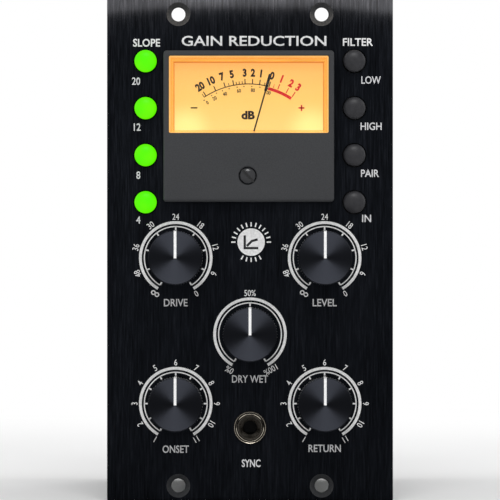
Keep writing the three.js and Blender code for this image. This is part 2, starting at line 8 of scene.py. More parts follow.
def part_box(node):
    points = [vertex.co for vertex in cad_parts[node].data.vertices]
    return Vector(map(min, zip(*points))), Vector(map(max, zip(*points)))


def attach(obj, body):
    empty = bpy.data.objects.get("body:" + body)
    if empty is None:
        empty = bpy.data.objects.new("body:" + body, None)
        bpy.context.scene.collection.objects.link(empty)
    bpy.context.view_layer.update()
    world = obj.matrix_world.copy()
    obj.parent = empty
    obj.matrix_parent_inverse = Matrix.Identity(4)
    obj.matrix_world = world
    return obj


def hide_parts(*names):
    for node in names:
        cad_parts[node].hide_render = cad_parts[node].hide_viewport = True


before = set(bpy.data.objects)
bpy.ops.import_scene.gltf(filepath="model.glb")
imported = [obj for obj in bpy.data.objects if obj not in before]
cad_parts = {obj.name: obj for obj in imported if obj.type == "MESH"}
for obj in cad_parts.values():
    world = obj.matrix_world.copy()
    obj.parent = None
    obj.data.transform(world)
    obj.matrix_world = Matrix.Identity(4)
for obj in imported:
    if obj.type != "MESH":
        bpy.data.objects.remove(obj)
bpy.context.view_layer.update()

mm = 0.001
chassis = "chassis"
print("frame loaded:", len(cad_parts), "nodes")


def deselectAll():
    if bpy.context.object and bpy.context.object.mode != "OBJECT":
        bpy.ops.object.mode_set(mode="OBJECT")
    bpy.ops.object.select_all(action="DESELECT")


def pick(piece):
    deselectAll()
    piece.select_set(True)
    bpy.context.view_layer.objects.active = piece


def centreOf(node):
    low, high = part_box(node)
    return (low + high) / 2


def hexColor(value, alpha=1.0):
    # sRGB hex to the linear values that the shaders take
    channels = [int(value[i:i + 2], 16) / 255 for i in (0, 2, 4)]
    linear = [c / 12.92 if c <= 0.04045 else ((c + 0.055) / 1.055) ** 2.4 for c in channels]
    return (*linear, alpha)


def addNode(tree, kind, settings=None, links=None):
    node = tree.nodes.new(kind)
    for key, value in (settings or {}).items():
        if isinstance(key, int) or key in node.inputs:
            node.inputs[key].default_value = value
        else:
            setattr(node, key, value)
    for key, (other, output) in (links or {}).items():
        tree.links.new(other.outputs[output], node.inputs[key])
    return node


def startMaterial(name, settings):
    # a material with one Principled shader and the object's own coordinates
    material = bpy.data.materials.new(name)
    material.use_nodes = True
    tree = material.node_tree
    tree.nodes.clear()
    shader = addNode(tree, "ShaderNodeBsdfPrincipled", settings)
    addNode(tree, "ShaderNodeOutputMaterial", {}, {"Surface": (shader, "BSDF")})
    coords = addNode(tree, "ShaderNodeTexCoord")
    return material, tree, shader, coords


def addNoise(tree, coords, scale, stretch=(1, 1, 1), detail=3.0, roughness=0.55):
    # stretch is how many times finer the pattern is along each axis
    mapping = addNode(tree, "ShaderNodeMapping", {"Scale": stretch}, {"Vector": (coords, "Object")})
    return addNode(
        tree,
        "ShaderNodeTexNoise",
        {"Scale": scale, "Detail": detail, "Roughness": roughness},
        {"Vector": (mapping, "Vector")},
    )


def addRamp(tree, source, output, stops):
    ramp = addNode(tree, "ShaderNodeValToRGB", {}, {"Fac": (source, output)})
    while len(ramp.color_ramp.elements) < len(stops):
        ramp.color_ramp.elements.new(0.5)
    for element, (position, color) in zip(ramp.color_ramp.elements, stops):
        element.position = position
        element.color = color
    return ramp


def addBump(tree, shader, source, output, strength, distance):
    bump = addNode(
        tree, "ShaderNodeBump", {"Strength": strength, "Distance": distance}, {"Height": (source, output)}
    )
    tree.links.new(bump.outputs["Normal"], shader.inputs["Normal"])
    return bump


def grey(value):
    return (value, value, value, 1.0)


def speckledMaterial(name, settings, tones, grainSize, bumpDepth=0.0, roughness=None, stretch=(1, 1, 1)):
    # fine two-tone grain of a real size, with matching bump and roughness
    material, tree, shader, coords = startMaterial(name, settings)
    grain = addNoise(tree, coords, 1 / grainSize, stretch)
    ramp = addRamp(tree, grain, "Fac", [(0.35, hexColor(tones[0])), (0.65, hexColor(tones[1]))])
    tree.links.new(ramp.outputs["Color"], shader.inputs["Base Color"])
    if roughness:
        rough = addRamp(tree, grain, "Fac", [(0.3, grey(roughness[0])), (0.7, grey(roughness[1]))])
        tree.links.new(rough.outputs["Color"], shader.inputs["Roughness"])
    if bumpDepth:
        addBump(tree, shader, grain, "Fac", 0.6, bumpDepth)
    return material


def setMaterial(piece, material):
    piece.data.materials.clear()
    piece.data.materials.append(material)


def finishPiece(piece, name, material, body=chassis, smoothAngle=35):
    pick(piece)
    bpy.ops.object.transform_apply(location=True, rotation=True, scale=True)
    piece.name = name
    piece.data.name = name
    if material:
        setMaterial(piece, material)
    if smoothAngle:
        bpy.ops.object.shade_smooth_by_angle(angle=math.radians(smoothAngle))
    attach(piece, body)
    return piece


def applyModifier(piece, kind, settings):
    pick(piece)
    modifier = piece.modifiers.new(kind.title(), kind)
    for key, value in settings.items():
        setattr(modifier, key, value)
    bpy.ops.object.modifier_apply(modifier=modifier.name)


def bevelEdges(piece, width, segments=2, angle=30):
    applyModifier(piece, "BEVEL", {
        "width": width,
        "segments": segments,
        "limit_method": "ANGLE",
        "angle_limit": math.radians(angle),
        "harden_normals": False,
    })


def cutAway(piece, cutter):
    applyModifier(piece, "BOOLEAN", {"operation": "DIFFERENCE", "object": cutter, "solver": "EXACT"})
    bpy.data.objects.remove(cutter)


def addBlock(low, high):
    deselectAll()
    low, high = Vector(low), Vector(high)
    bpy.ops.mesh.primitive_cube_add(size=1, location=(low + high) / 2)
    block = bpy.context.object
    block.scale = high - low
    bpy.ops.object.transform_apply(location=True, rotation=True, scale=True)
    return block


def joinPieces(pieces):
    deselectAll()
    for piece in pieces:
        piece.select_set(True)
    bpy.context.view_layer.objects.active = pieces[0]
    if len(pieces) > 1:
        bpy.ops.object.join()
    return bpy.context.object


def turnPiece(centre, profile, sides=48, axis="Y"):
    # turned about a line through centre: each profile entry is [radius, place along the axis]
    along = {"X": Vector((1, 0, 0)), "Y": Vector((0, 1, 0)), "Z": Vector((0, 0, 1))}[axis]
    turn = {"X": (0, math.pi / 2, 0), "Y": (math.pi / 2, 0, 0), "Z": (0, 0, 0)}[axis]
    centre = Vector(centre)
    centre = centre - along * centre.dot(along)
    deselectAll()
    radius, place = profile[0]
    bpy.ops.mesh.primitive_circle_add(
        vertices=sides, radius=radius, fill_type="NGON", location=centre + along * place, rotation=turn
    )
    piece = bpy.context.object
    bpy.ops.object.transform_apply(location=True, rotation=True, scale=True)
    bpy.ops.object.mode_set(mode="EDIT")
    for nextRadius, nextPlace in profile[1:]:
        step = along * (nextPlace - place)
        bpy.ops.mesh.extrude_region_move(TRANSFORM_OT_translate={"value": step})
        factor = nextRadius / radius
        size = [1.0 if along[i] else factor for i in range(3)]
        bpy.ops.transform.resize(value=size, center_override=centre + along * nextPlace)
        radius, place = nextRadius, nextPlace
    bpy.ops.mesh.select_all(action="SELECT")
    bpy.ops.mesh.normals_make_consistent(inside=False)
    bpy.ops.object.mode_set(mode="OBJECT")
    return piece


def copyPiece(piece, move=(0, 0, 0), turn=None):
    copy = piece.copy()
    copy.data = piece.data.copy()
    bpy.context.scene.collection.objects.link(copy)
    if turn:
        copy.data.transform(turn)
    copy.data.transform(Matrix.Translation(move))
    return copy


def turnAbout(centre, degrees, axis="Y"):
    spot = Matrix.Translation(centre)
    return spot @ Matrix.Rotation(math.radians(degrees), 4, axis) @ spot.inverted()


def addArcBand(x, z, inner, outer, first, last, front, rear, steps):
    # a flat band part of the way round X, Z; angles run clockwise from straight up, seen from the front
    deselectAll()
    middle = (x, (front + rear) / 2, z + (inner + outer) / 2)
    bpy.ops.mesh.primitive_plane_add(size=1, location=middle, rotation=(0, math.radians(90), 0))
    band = bpy.context.object
    band.scale = (outer - inner, rear - front, 1)
    bpy.ops.object.transform_apply(location=True, rotation=True, scale=True)
    bpy.ops.object.mode_set(mode="EDIT")
    bpy.ops.mesh.select_all(action="SELECT")
    bpy.ops.mesh.spin(steps=steps, angle=math.radians(last - first), center=(x, 0, z), axis=(0, -1, 0))
    bpy.ops.mesh.select_all(action="SELECT")
    bpy.ops.mesh.normals_make_consistent(inside=False)
    bpy.ops.object.mode_set(mode="OBJECT")
    band.data.transform(turnAbout((x, 0, z), first))
    return band


def addRing(x, z, inner, outer, front, rear, sides):
    ring = turnPiece((x, 0, z), [(outer, front), (outer, rear)], sides)
    cutAway(ring, turnPiece((x, 0, z), [(inner, front - mm), (inner, rear + mm)], sides))
    return ring


def addBar(x, z, angle, fromRadius, toRadius, width, front, rear):
    # a straight stroke on a line out from X, Z
    bar = addBlock((x - width / 2, front, z + fromRadius), (x + width / 2, rear, z + toRadius))
    bar.data.transform(turnAbout((x, 0, z), angle))
    return bar


def addWord(text, height, x, z, front, depth, width=None, weight=0.0, turn=0.0, aspect=0.82):
    # flat letters facing the front, height is that of a capital; width squeezes the word to fit
    deselectAll()
    bpy.ops.object.text_add()
    word = bpy.context.object
    word.data.body = text
    word.data.size = height / 0.70
    word.data.align_x = "CENTER"
    word.data.resolution_u = 3
    word.data.offset = weight * height
    word.data.extrude = depth / 2
    bpy.ops.object.convert(target="MESH")
    word = bpy.context.object
    low = Vector([min(v.co[i] for v in word.data.vertices) for i in range(3)])
    high = Vector([max(v.co[i] for v in word.data.vertices) for i in range(3)])
    squeeze = width / (high.x - low.x) if width else aspect
    word.data.transform(Matrix.Translation(-(low + high) / 2))
    word.data.transform(Matrix.Diagonal((squeeze, 1, 1, 1)))
    word.data.transform(Matrix.Rotation(math.radians(90), 4, "X"))
    word.data.transform(Matrix.Rotation(math.radians(turn), 4, "Y"))
    word.data.transform(Matrix.Translation((x, front + depth / 2, z)))
    return word


panelLow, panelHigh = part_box("front_panel")
panelFront = panelLow.y
panelBottom, panelTop = panelLow.z, panelHigh.z
panelHeight = panelTop - panelBottom

stage = {
    "cameraDistance": 1.5,
    "sensor": 36.0,
    "cropIn": 1.003,
    "floorSize": 6.0,
    "floorTone": "f7f7f7",
    "clearRadius": 0.28,
    "whiteRadius": 0.75,
    "skyDiffuse": 0.42,
    "lamps": {  # place, target, width, height and energy
        "keyLamp": ((0.0, -0.75, 0.62), (0, 0, 0), 0.34, 0.2, 3.6),
        "leftLamp": ((-0.8, 0.1, 0.35), (0, 0.06, 0), 0.6, 0.6, 2.2),
        "rightLamp": ((0.8, 0.1, 0.35), (0, 0.06, 0), 0.6, 0.6, 2.2),
        "backLamp": ((0.15, 0.95, 0.5), (0, 0.06, 0), 0.6, 0.6, 3.0),
    },
    "fanPlace": (0, -0.85, 0.42),
    "fanSize": (0.95, 0.42),
    "fanEnergy": 52.0,
    "stripEnergy": 0.05,
    "stripGap": 4.5 * mm,
    "stripBelow": 1.9 * mm,
    "stripSize": (0.09, 9 * mm),
    "stripTint": (1.0, 0.86, 0.7),
}


def makeCamera():
    data = bpy.data.cameras.new("camera")
    camera = bpy.data.objects.new("camera", data)
    bpy.context.scene.collection.objects.link(camera)
    camera.location = (0, panelFront - stage["cameraDistance"], (panelTop + panelBottom) / 2)
    camera.rotation_euler = (math.radians(90), 0, 0)
    data.sensor_width = stage["sensor"]
    data.lens = stage["cropIn"] * stage["sensor"] * stage["cameraDistance"] / panelHeight
    data.clip_start = 0.05
    data.clip_end = 50
    bpy.context.scene.camera = camera


def addLamp(name, place, target, width, height, energy):
    data = bpy.data.lights.new(name, "AREA")
    data.shape = "RECTANGLE"
    data.size = width
    data.size_y = height
    data.energy = energy
    lamp = bpy.data.objects.new(name, data)
    bpy.context.scene.collection.objects.link(lamp)
    lamp.location = place
    lamp.rotation_mode = "QUATERNION"
    lamp.rotation_quaternion = (Vector(target) - Vector(place)).to_track_quat("-Z", "Y")
    lamp.visible_camera = False
    return lamp


def makeLamps():
    for name, setting in stage["lamps"].items():
        addLamp(name, *setting)


def makeGlints():
    # two lamps that only certain pieces see: a wide one that opens the light fans on the spun knob faces,
    # and one just above the panel that brightens the brushed face along its top edge
    fan = addLamp("fanLamp", stage["fanPlace"], (0, 0, 0), *stage["fanSize"], stage["fanEnergy"])
    onlyFor(fan, [bpy.data.objects[f"{name}_knob_face"] for name in controls])
    y = panelFront - stage["stripGap"]
    z = panelTop + stage["stripSize"][1] / 2 - stage["stripBelow"]
    strip = addLamp("stripLamp", (0, y, z), (0, 0, z), *stage["stripSize"], stage["stripEnergy"])
    strip.data.color = stage["stripTint"]
    strip.visible_diffuse = False
    onlyFor(strip, [bpy.data.objects["panel_plate"]])


def onlyFor(lamp, pieces):
    group = bpy.data.collections.new(f"{lamp.name}Pieces")
    for piece in pieces:
        group.objects.link(piece)
    lamp.light_linking.receiver_collection = group


def addSeen(tree):
    # 1 for rays that show the setting itself: from the camera, in metal and through the pane
    path = addNode(tree, "ShaderNodeLightPath")
    seen = addNode(tree, "ShaderNodeMath", {"operation": "MAXIMUM"}, {
        0: (path, "Is Camera Ray"),
        1: (path, "Is Glossy Ray"),
    })
    return addNode(tree, "ShaderNodeMath", {"operation": "MAXIMUM"}, {
        0: (seen, "Value"),
        1: (path, "Is Transmission Ray"),
    })


def makeFloor():
    deselectAll()
    bpy.ops.mesh.primitive_plane_add(size=stage["floorSize"], location=(0, 0, panelBottom))
    bpy.ops.object.transform_apply(location=True, rotation=True, scale=True)
    floor = bpy.context.object
    floor.name = "floor"
    material = bpy.data.materials.new("painted studio floor")  # matte white, plain white away from the object
    material.use_nodes = True
    tree = material.node_tree
    tree.nodes.clear()
    paint = addNode(tree, "ShaderNodeBsdfDiffuse", {"Color": hexColor(stage["floorTone"])})
    glow = addNode(tree, "ShaderNodeEmission", {"Color": (1, 1, 1, 1), "Strength": 1.0})
    coords = addNode(tree, "ShaderNodeTexCoord")
    away = addNode(tree, "ShaderNodeVectorMath", {"operation": "DISTANCE", 1: (0, 0.07, panelBottom)}, {
        0: (coords, "Object"),
    })
    far = addNode(tree, "ShaderNodeMapRange", {
        "interpolation_type": "SMOOTHSTEP",
        "From Min": stage["clearRadius"],
        "From Max": stage["whiteRadius"],
    }, {"Value": (away, "Value")})
    share = addNode(tree, "ShaderNodeMath", {"operation": "MULTIPLY"}, {
        0: (far, "Result"),
        1: (addSeen(tree), "Value"),
    })
    mixed = addNode(tree, "ShaderNodeMixShader", {}, {
        0: (share, "Value"),
        1: (paint, "BSDF"),
        2: (glow, "Emission"),
    })
    addNode(tree, "ShaderNodeOutputMaterial", {}, {"Surface": (mixed, "Shader")})
    setMaterial(floor, material)


def makeWorld():
    world = bpy.data.worlds.new("studio")
    bpy.context.scene.world = world
    world.use_nodes = True
    tree = world.node_tree
    tree.nodes.clear()
    strength = addNode(tree, "ShaderNodeMapRange", {
        "From Min": 0.0,
        "From Max": 1.0,
        "To Min": stage["skyDiffuse"],
        "To Max": 1.0,
    }, {"Value": (addSeen(tree), "Value")})
    background = addNode(tree, "ShaderNodeBackground", {"Color": (1, 1, 1, 1)}, {
        "Strength": (strength, "Result"),
    })
    addNode(tree, "ShaderNodeOutputWorld", {}, {"Surface": (background, "Background")})
    bpy.context.scene.view_settings.view_transform = "Standard"


makeCamera()
makeLamps()
makeFloor()
makeWorld()
print("stage ready")


def brushedBlackAnodised():
    # anodised aluminium, brushed up and down before dyeing: near black, with fine vertical streaks
    material, tree, shader, coords = startMaterial("brushed black anodised aluminium", {
        "Metallic": 1.0,
        "Roughness": 0.36,
    })
    lines = addNoise(tree, coords, 1 / (0.9 * mm), (2.6, 2.6, 0.13), detail=5.0, roughness=0.7)
    clouds = addNoise(tree, coords, 1 / (14 * mm), (1.6, 1, 0.25), detail=2.0)
    tone = addRamp(tree, lines, "Fac", [
        (0.30, hexColor("090a0c")),
        (0.52, hexColor("111317")),
        (0.74, hexColor("1d1f24")),
    ])
    depth = addRamp(tree, clouds, "Fac", [(0.3, grey(0.75)), (0.7, grey(1.15))])
    mixed = addNode(tree, "ShaderNodeMix", {"data_type": "RGBA", "blend_type": "MULTIPLY", 0: 1.0}, {
        6: (tone, "Color"),
        7: (depth, "Color"),
    })
    tree.links.new(mixed.outputs[2], shader.inputs["Base Color"])
    rough = addRamp(tree, lines, "Fac", [(0.3, grey(0.30)), (0.7, grey(0.46))])
    tree.links.new(rough.outputs["Color"], shader.inputs["Roughness"])
    addBump(tree, shader, lines, "Fac", 0.35, 0.02 * mm)
    return material


def spunBlackAnodised():
    # lathe-turned face: circular grooves finer than the eye sees throw the light into two opposite fans
    material, tree, shader, coords = startMaterial("spun black anodised aluminium", {
        "Metallic": 1.0,
        "Roughness": 0.42,
        "Anisotropic": 0.95,
        "Anisotropic Rotation": 0.25,
        "Base Color": hexColor("111215"),
    })
    tangent = addNode(tree, "ShaderNodeTangent", {"direction_type": "RADIAL", "axis": "Y"})
    tree.links.new(tangent.outputs["Tangent"], shader.inputs["Tangent"])
    return material


def moulded(name, tones, roughness, grain=0.35, depth=0.01, shine=0.4):
    # injection moulded plastic with a fine spark-eroded grain
    return speckledMaterial(name, {"Specular IOR Level": shine}, tones, grain * mm, depth * mm, roughness)


def paintedInk(name, tones):
    # screen-printed epoxy ink, slightly uneven in cover
    return speckledMaterial(name, {"Specular IOR Level": 0.3}, tones, 0.5 * mm, 0.003 * mm, (0.45, 0.65))


def platedMetal(name, tones, roughness, grain=0.5, stretch=(1, 1, 1)):
    # electroplated metal: the base shows small changes of tone and polish
    return speckledMaterial(name, {"Metallic": 1.0}, tones, grain * mm, 0.001 * mm, roughness, stretch)


def powderCoat():
    # satin black powder coat: an orange-peel of about half a millimetre
    return speckledMaterial(
        "black powder coated steel",
        {"Specular IOR Level": 0.45},
        ("17181a", "1f2022"),
        0.55 * mm,
        0.02 * mm,
        (0.42, 0.6),
    )


def litLens():
    # translucent polycarbonate cap lit from behind by a green lamp: the part in front of the panel glows
    material, tree, shader, coords = startMaterial("lit green polycarbonate", {
        "Base Color": hexColor("0f3408"),
        "Roughness": 0.35,
        "Specular IOR Level": 0.06,
        "Emission Strength": 1.0,
    })
    parts = addNode(tree, "ShaderNodeSeparateXYZ", {}, {"Vector": (coords, "Object")})
    depth = addNode(tree, "ShaderNodeMapRange", {
        "From Min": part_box("left_button_1")[0].y,
        "From Max": panelFront,
    }, {"Value": (parts, "Y")})
    cloud = addNoise(tree, coords, 1 / (5 * mm), (1, 1, 1), detail=1.0)
    tone = addRamp(tree, cloud, "Fac", [(0.3, hexColor("56fa00")), (0.7, hexColor("6efb00"))])
    shade = addRamp(tree, depth, "Result", [
        (0.0, grey(1.0)),
        (0.55, grey(0.85)),
        (0.9, grey(0.2)),
        (1.0, grey(0.0)),
    ])
    glow = addNode(tree, "ShaderNodeMix", {"data_type": "RGBA", "blend_type": "MULTIPLY", 0: 1.0}, {
        6: (tone, "Color"),
        7: (shade, "Color"),
    })
    tree.links.new(glow.outputs[2], shader.inputs["Emission Color"])
    return material


def cardGlow():
    # printed card behind the window: the light of two small lamps at its lower corners is painted into its
    # glow, palest and brightest near them and deeper orange towards the top
    material, tree, shader, coords = startMaterial("cream card with painted lamp light", {
        "Base Color": hexColor("6a4f2c"),
        "Roughness": 0.8,
        "Specular IOR Level": 0.1,
        "Emission Strength": 0.95,
    })
    parts = addNode(tree, "ShaderNodeSeparateXYZ", {}, {"Vector": (coords, "Object")})
    windowLow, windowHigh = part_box("meter_window")
    height = addNode(tree, "ShaderNodeMapRange", {
        "From Min": windowLow.z,
        "From Max": windowHigh.z,
    }, {"Value": (parts, "Z")})
    lampFalloff = addRamp(tree, height, "Result", [
        (0.0, hexColor("ffd880")),
        (0.45, hexColor("ffcb6e")),
        (0.8, hexColor("ffbf68")),
        (1.0, hexColor("f7a657")),
    ])
    color = (lampFalloff, "Color")
    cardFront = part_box("meter_dial")[0].y
    # painted pools of lamp light round the two meter lamps
    for lamp in ("meter_lamp_left", "meter_lamp_right"):
        spot = (centreOf(lamp).x, cardFront, windowLow.z + 0.3 * mm)
        away = addNode(tree, "ShaderNodeVectorMath", {"operation": "DISTANCE", 1: spot}, {
            0: (coords, "Object"),
        })
        near = addNode(tree, "ShaderNodeMapRange", {
            "From Min": 0.0,
            "From Max": 9 * mm,
            "To Min": 1.0,
            "To Max": 0.0,
            "interpolation_type": "SMOOTHERSTEP",
        }, {"Value": (away, "Value")})
        lampPool = addNode(tree, "ShaderNodeMix", {"data_type": "RGBA", 7: hexColor("fff79a")}, {
            0: (near, "Result"),
            6: color,
        })
        color = (lampPool, 2)
    tree.links.new(color[0].outputs[color[1]], shader.inputs["Emission Color"])
    return material


def amberWall():
    # the clear moulding round the card carries the lamp light, painted into its glow: bright at its rim, deep
    # orange at the card, with painted highlight bands along the slope
    material, tree, shader, coords = startMaterial("amber acrylic edge with painted glow", {
        "Base Color": hexColor("70451a"),
        "Roughness": 0.2,
        "Specular IOR Level": 0.2,
        "Emission Strength": 0.9,
    })
    parts = addNode(tree, "ShaderNodeSeparateXYZ", {}, {"Vector": (coords, "Object")})
    depth = addNode(tree, "ShaderNodeMapRange", {
        "From Min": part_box("meter_window")[1].y,
        "From Max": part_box("meter_dial")[0].y,
    }, {"Value": (parts, "Y")})
    # painted glow and painted highlight bands, from the window back to the card
    glowBands = addRamp(tree, depth, "Result", [
        (0.0, hexColor("ffc874")),
        (0.35, hexColor("ff9c3c")),
        (0.62, hexColor("ffbb50")),
        (0.86, hexColor("f08a34")),
        (1.0, hexColor("c46a26")),
    ])
    streak = addNoise(tree, coords, 1 / (7 * mm), (1, 3, 1), detail=2.0)
    shade = addRamp(tree, streak, "Fac", [(0.3, grey(0.82)), (0.7, grey(1.0))])
    tone = addNode(tree, "ShaderNodeMix", {"data_type": "RGBA", "blend_type": "MULTIPLY", 0: 1.0}, {
        6: (glowBands, "Color"),
        7: (shade, "Color"),
    })
    tree.links.new(tone.outputs[2], shader.inputs["Emission Color"])
    return material


def clearAcrylic():
    # polished acrylic pane
    material, tree, shader, coords = startMaterial("polished clear acrylic", {
        "Base Color": (1, 1, 1, 1),
        "Roughness": 0.03,
        "IOR": 1.16,
        "Transmission Weight": 1.0,
    })
    smear = addNoise(tree, coords, 1 / (9 * mm), (1, 1, 1), detail=2.0)
    rough = addRamp(tree, smear, "Fac", [(0.4, grey(0.02)), (0.8, grey(0.06))])
    tree.links.new(rough.outputs["Color"], shader.inputs["Roughness"])
    return material


def boardMaterial(name, plane):
    # green solder mask over copper: tracks show as slightly lighter raised lines, set out on a square grid;
    # plane says which two axes lie in the board
    material, tree, shader, coords = startMaterial(name, {
        "Roughness": 0.35,
        "Specular IOR Level": 0.5,
    })
    parts = addNode(tree, "ShaderNodeSeparateXYZ", {}, {"Vector": (coords, "Object")})
    flat = addNode(tree, "ShaderNodeCombineXYZ", {}, {"X": (parts, plane[0]), "Y": (parts, plane[1])})
    tracks = addNode(tree, "ShaderNodeTexBrick", {
        "Scale": 1.0,
        "Mortar Size": 0.35 * mm,
        "Mortar Smooth": 0.1,
        "Brick Width": 11 * mm,
        "Row Height": 2.54 * mm,
        "Color1": hexColor("12472c"),
        "Color2": hexColor("154e31"),
        "Mortar": hexColor("1d6b40"),
        "offset": 0.37,
        "offset_frequency": 3,
        "squash": 0.6,
        "squash_frequency": 2,
    }, {"Vector": (flat, "Vector")})
    tree.links.new(tracks.outputs["Color"], shader.inputs["Base Color"])
    addBump(tree, shader, tracks, "Fac", 0.5, 0.03 * mm)
    return material


materials = {
    "panel": brushedBlackAnodised(),
    "spun": spunBlackAnodised(),
    # the countersinks' lighter grey is a painted sheen
    "sink": moulded("satin black countersink with painted sheen", ("343537", "3e3f41"), (0.4, 0.5), 0.4, 0.002, 0.1),
    "fluted": speckledMaterial(
        "fluted black anodised aluminium",
        {"Metallic": 1.0},
        ("16171a", "202226"),
        0.4 * mm,
        0.003 * mm,
        (0.32, 0.44),
    ),
    "whiteInk": paintedInk("white screen ink", ("dedede", "f4f4f4")),
    "blackInk": paintedInk("black screen ink", ("0d0d0f", "141417")),
    "greyInk": paintedInk("pale grey screen ink", ("cacacc", "e2e2e4")),
    "whitePaint": paintedInk("white filled pointer line", ("f4f4f4", "ffffff")),
    "charcoal": moulded("matte charcoal abs", ("3b3c3e", "424345"), (0.62, 0.75), shine=0.12),
    "black": moulded("black moulded abs", ("131416", "1a1b1d"), (0.45, 0.6)),
    "gloss": moulded("polished black abs", ("1f2023", "28292c"), (0.14, 0.22), 1.5, 0.002),
    "smoke": moulded("smoke grey polycarbonate", ("2a2a2d", "303033"), (0.34, 0.42), 1.2, 0.002, 0.2),
    "green": litLens(),
    "card": cardGlow(),
    "amber": amberWall(),
    "clear": clearAcrylic(),
    "cardBlack": paintedInk("black card ink", ("1c1008", "28180a")),
    "cardRed": paintedInk("red card ink", ("d0141a", "e21f22")),
    "needle": speckledMaterial(
        "black painted needle", {"Specular IOR Level": 0.3}, ("0a0a0a", "121212"), 0.3 * mm, 0.0, (0.45, 0.6)
    ),
    "nickel": platedMetal("bright nickel plate", ("b9b1a2", "d2cabb"), (0.14, 0.26)),
    "darkNickel": platedMetal("smoky nickel plate", ("413e39", "524e48"), (0.25, 0.4)),
    # the next two are painted light on the jack nut: a painted rim highlight and painted groove shade
    "rimSheenNickel": platedMetal("nickel plate with painted rim sheen", ("7d776c", "968f83"), (0.2, 0.32)),
    "groove": platedMetal("nickel groove with painted shade", ("161514", "1f1e1c"), (0.4, 0.55)),
    "zinc": platedMetal("zinc plated steel", ("a3a6a8", "bcc0c2"), (0.28, 0.42), 1.5),
    "tinned": platedMetal("tinned steel", ("8f9294", "b3b6b8"), (0.3, 0.45), 1.0),
    "can": platedMetal("drawn nickel iron can", ("9b9c9c", "b4b5b4"), (0.24, 0.38), 0.5, (0.08, 1, 1)),
    "gold": platedMetal("gold plated fingers", ("e0ad4c", "f0c66c"), (0.38, 0.46), 2.5),
    "powder": powderCoat(),
    "heatSink": speckledMaterial(
        "black anodised extrusion",
        {"Metallic": 1.0},
        ("17181a", "26282b"),
        0.5 * mm,
        0.004 * mm,
        (0.36, 0.5),
        (1, 0.04, 1),
    ),
    "sleeve": moulded("shrunk blue pvc sleeve", ("1b2c49", "22365a"), (0.22, 0.34), 2.0, 0.004),
    "film": moulded("red film capacitor case", ("8a211b", "9c2b23"), (0.35, 0.5), 0.8, 0.006),
    "faceBoard": boardMaterial("green laminate across", ("X", "Z")),
    "sideBoard": boardMaterial("green laminate lengthways", ("Y", "Z")),
    "epoxy": moulded("black epoxy package", ("141416", "1d1d20"), (0.5, 0.62), 0.3, 0.006),
    "ceramic": moulded("beige resistor body", ("b89f74", "c9b187"), (0.4, 0.5), 0.5, 0.003),
    "solder": platedMetal("solder joints", ("a7aaad", "c4c7c9"), (0.2, 0.35), 0.8),
    "canSleeve": moulded("shrunk black pvc sleeve", ("121316", "1a1b20"), (0.25, 0.38), 1.5, 0.004),
    "relay": moulded("cream relay case", ("c9c2ae", "d6cfbc"), (0.4, 0.5), 0.6, 0.004),
    "bandBrown": paintedInk("brown resistor band", ("5a3216", "683c1c")),
    "bandRed": paintedInk("red resistor band", ("a81d18", "bb2620")),
    "blueLacquer": moulded("blue lacquered film", ("1f4f8f", "2860a6"), (0.3, 0.4), 0.5, 0.004),
}
print("materials ready")


panel = {
    "edgeRadius": 0.06 * mm,
    "rackHole": 3.7 * mm,
    "rackSink": 6.3 * mm,
    "sinkDepth": 1.5 * mm,
    "rackX": 19.05 * mm,
    "rackZ": 62.7 * mm,
    "railStep": 0.15 * mm,
    "railHeight": 9.2 * mm,
    "potHole": 7.2 * mm,
    "buttonHole": 6.5 * mm,
    "jackHole": 6.6 * mm,
    "meterGap": 0.3 * mm,
    "standoffs": [(28.3, -52.5, 5.0), (28.3, 2.5, 5.0), (27.75, 43.95, 3.6), (27.75, 18.95, 3.6)],
}
controls = ["input", "output", "mix", "attack", "release"]
buttons = [f"{side}_button_{i}" for side in ("left", "right") for i in range(1, 5)]


def drill(plate, x, z, diameter, sides=40):
    through = [(diameter / 2, panelFront - mm), (diameter / 2, 2 * mm)]
    cutAway(plate, turnPiece((x, 0, z), through, sides))


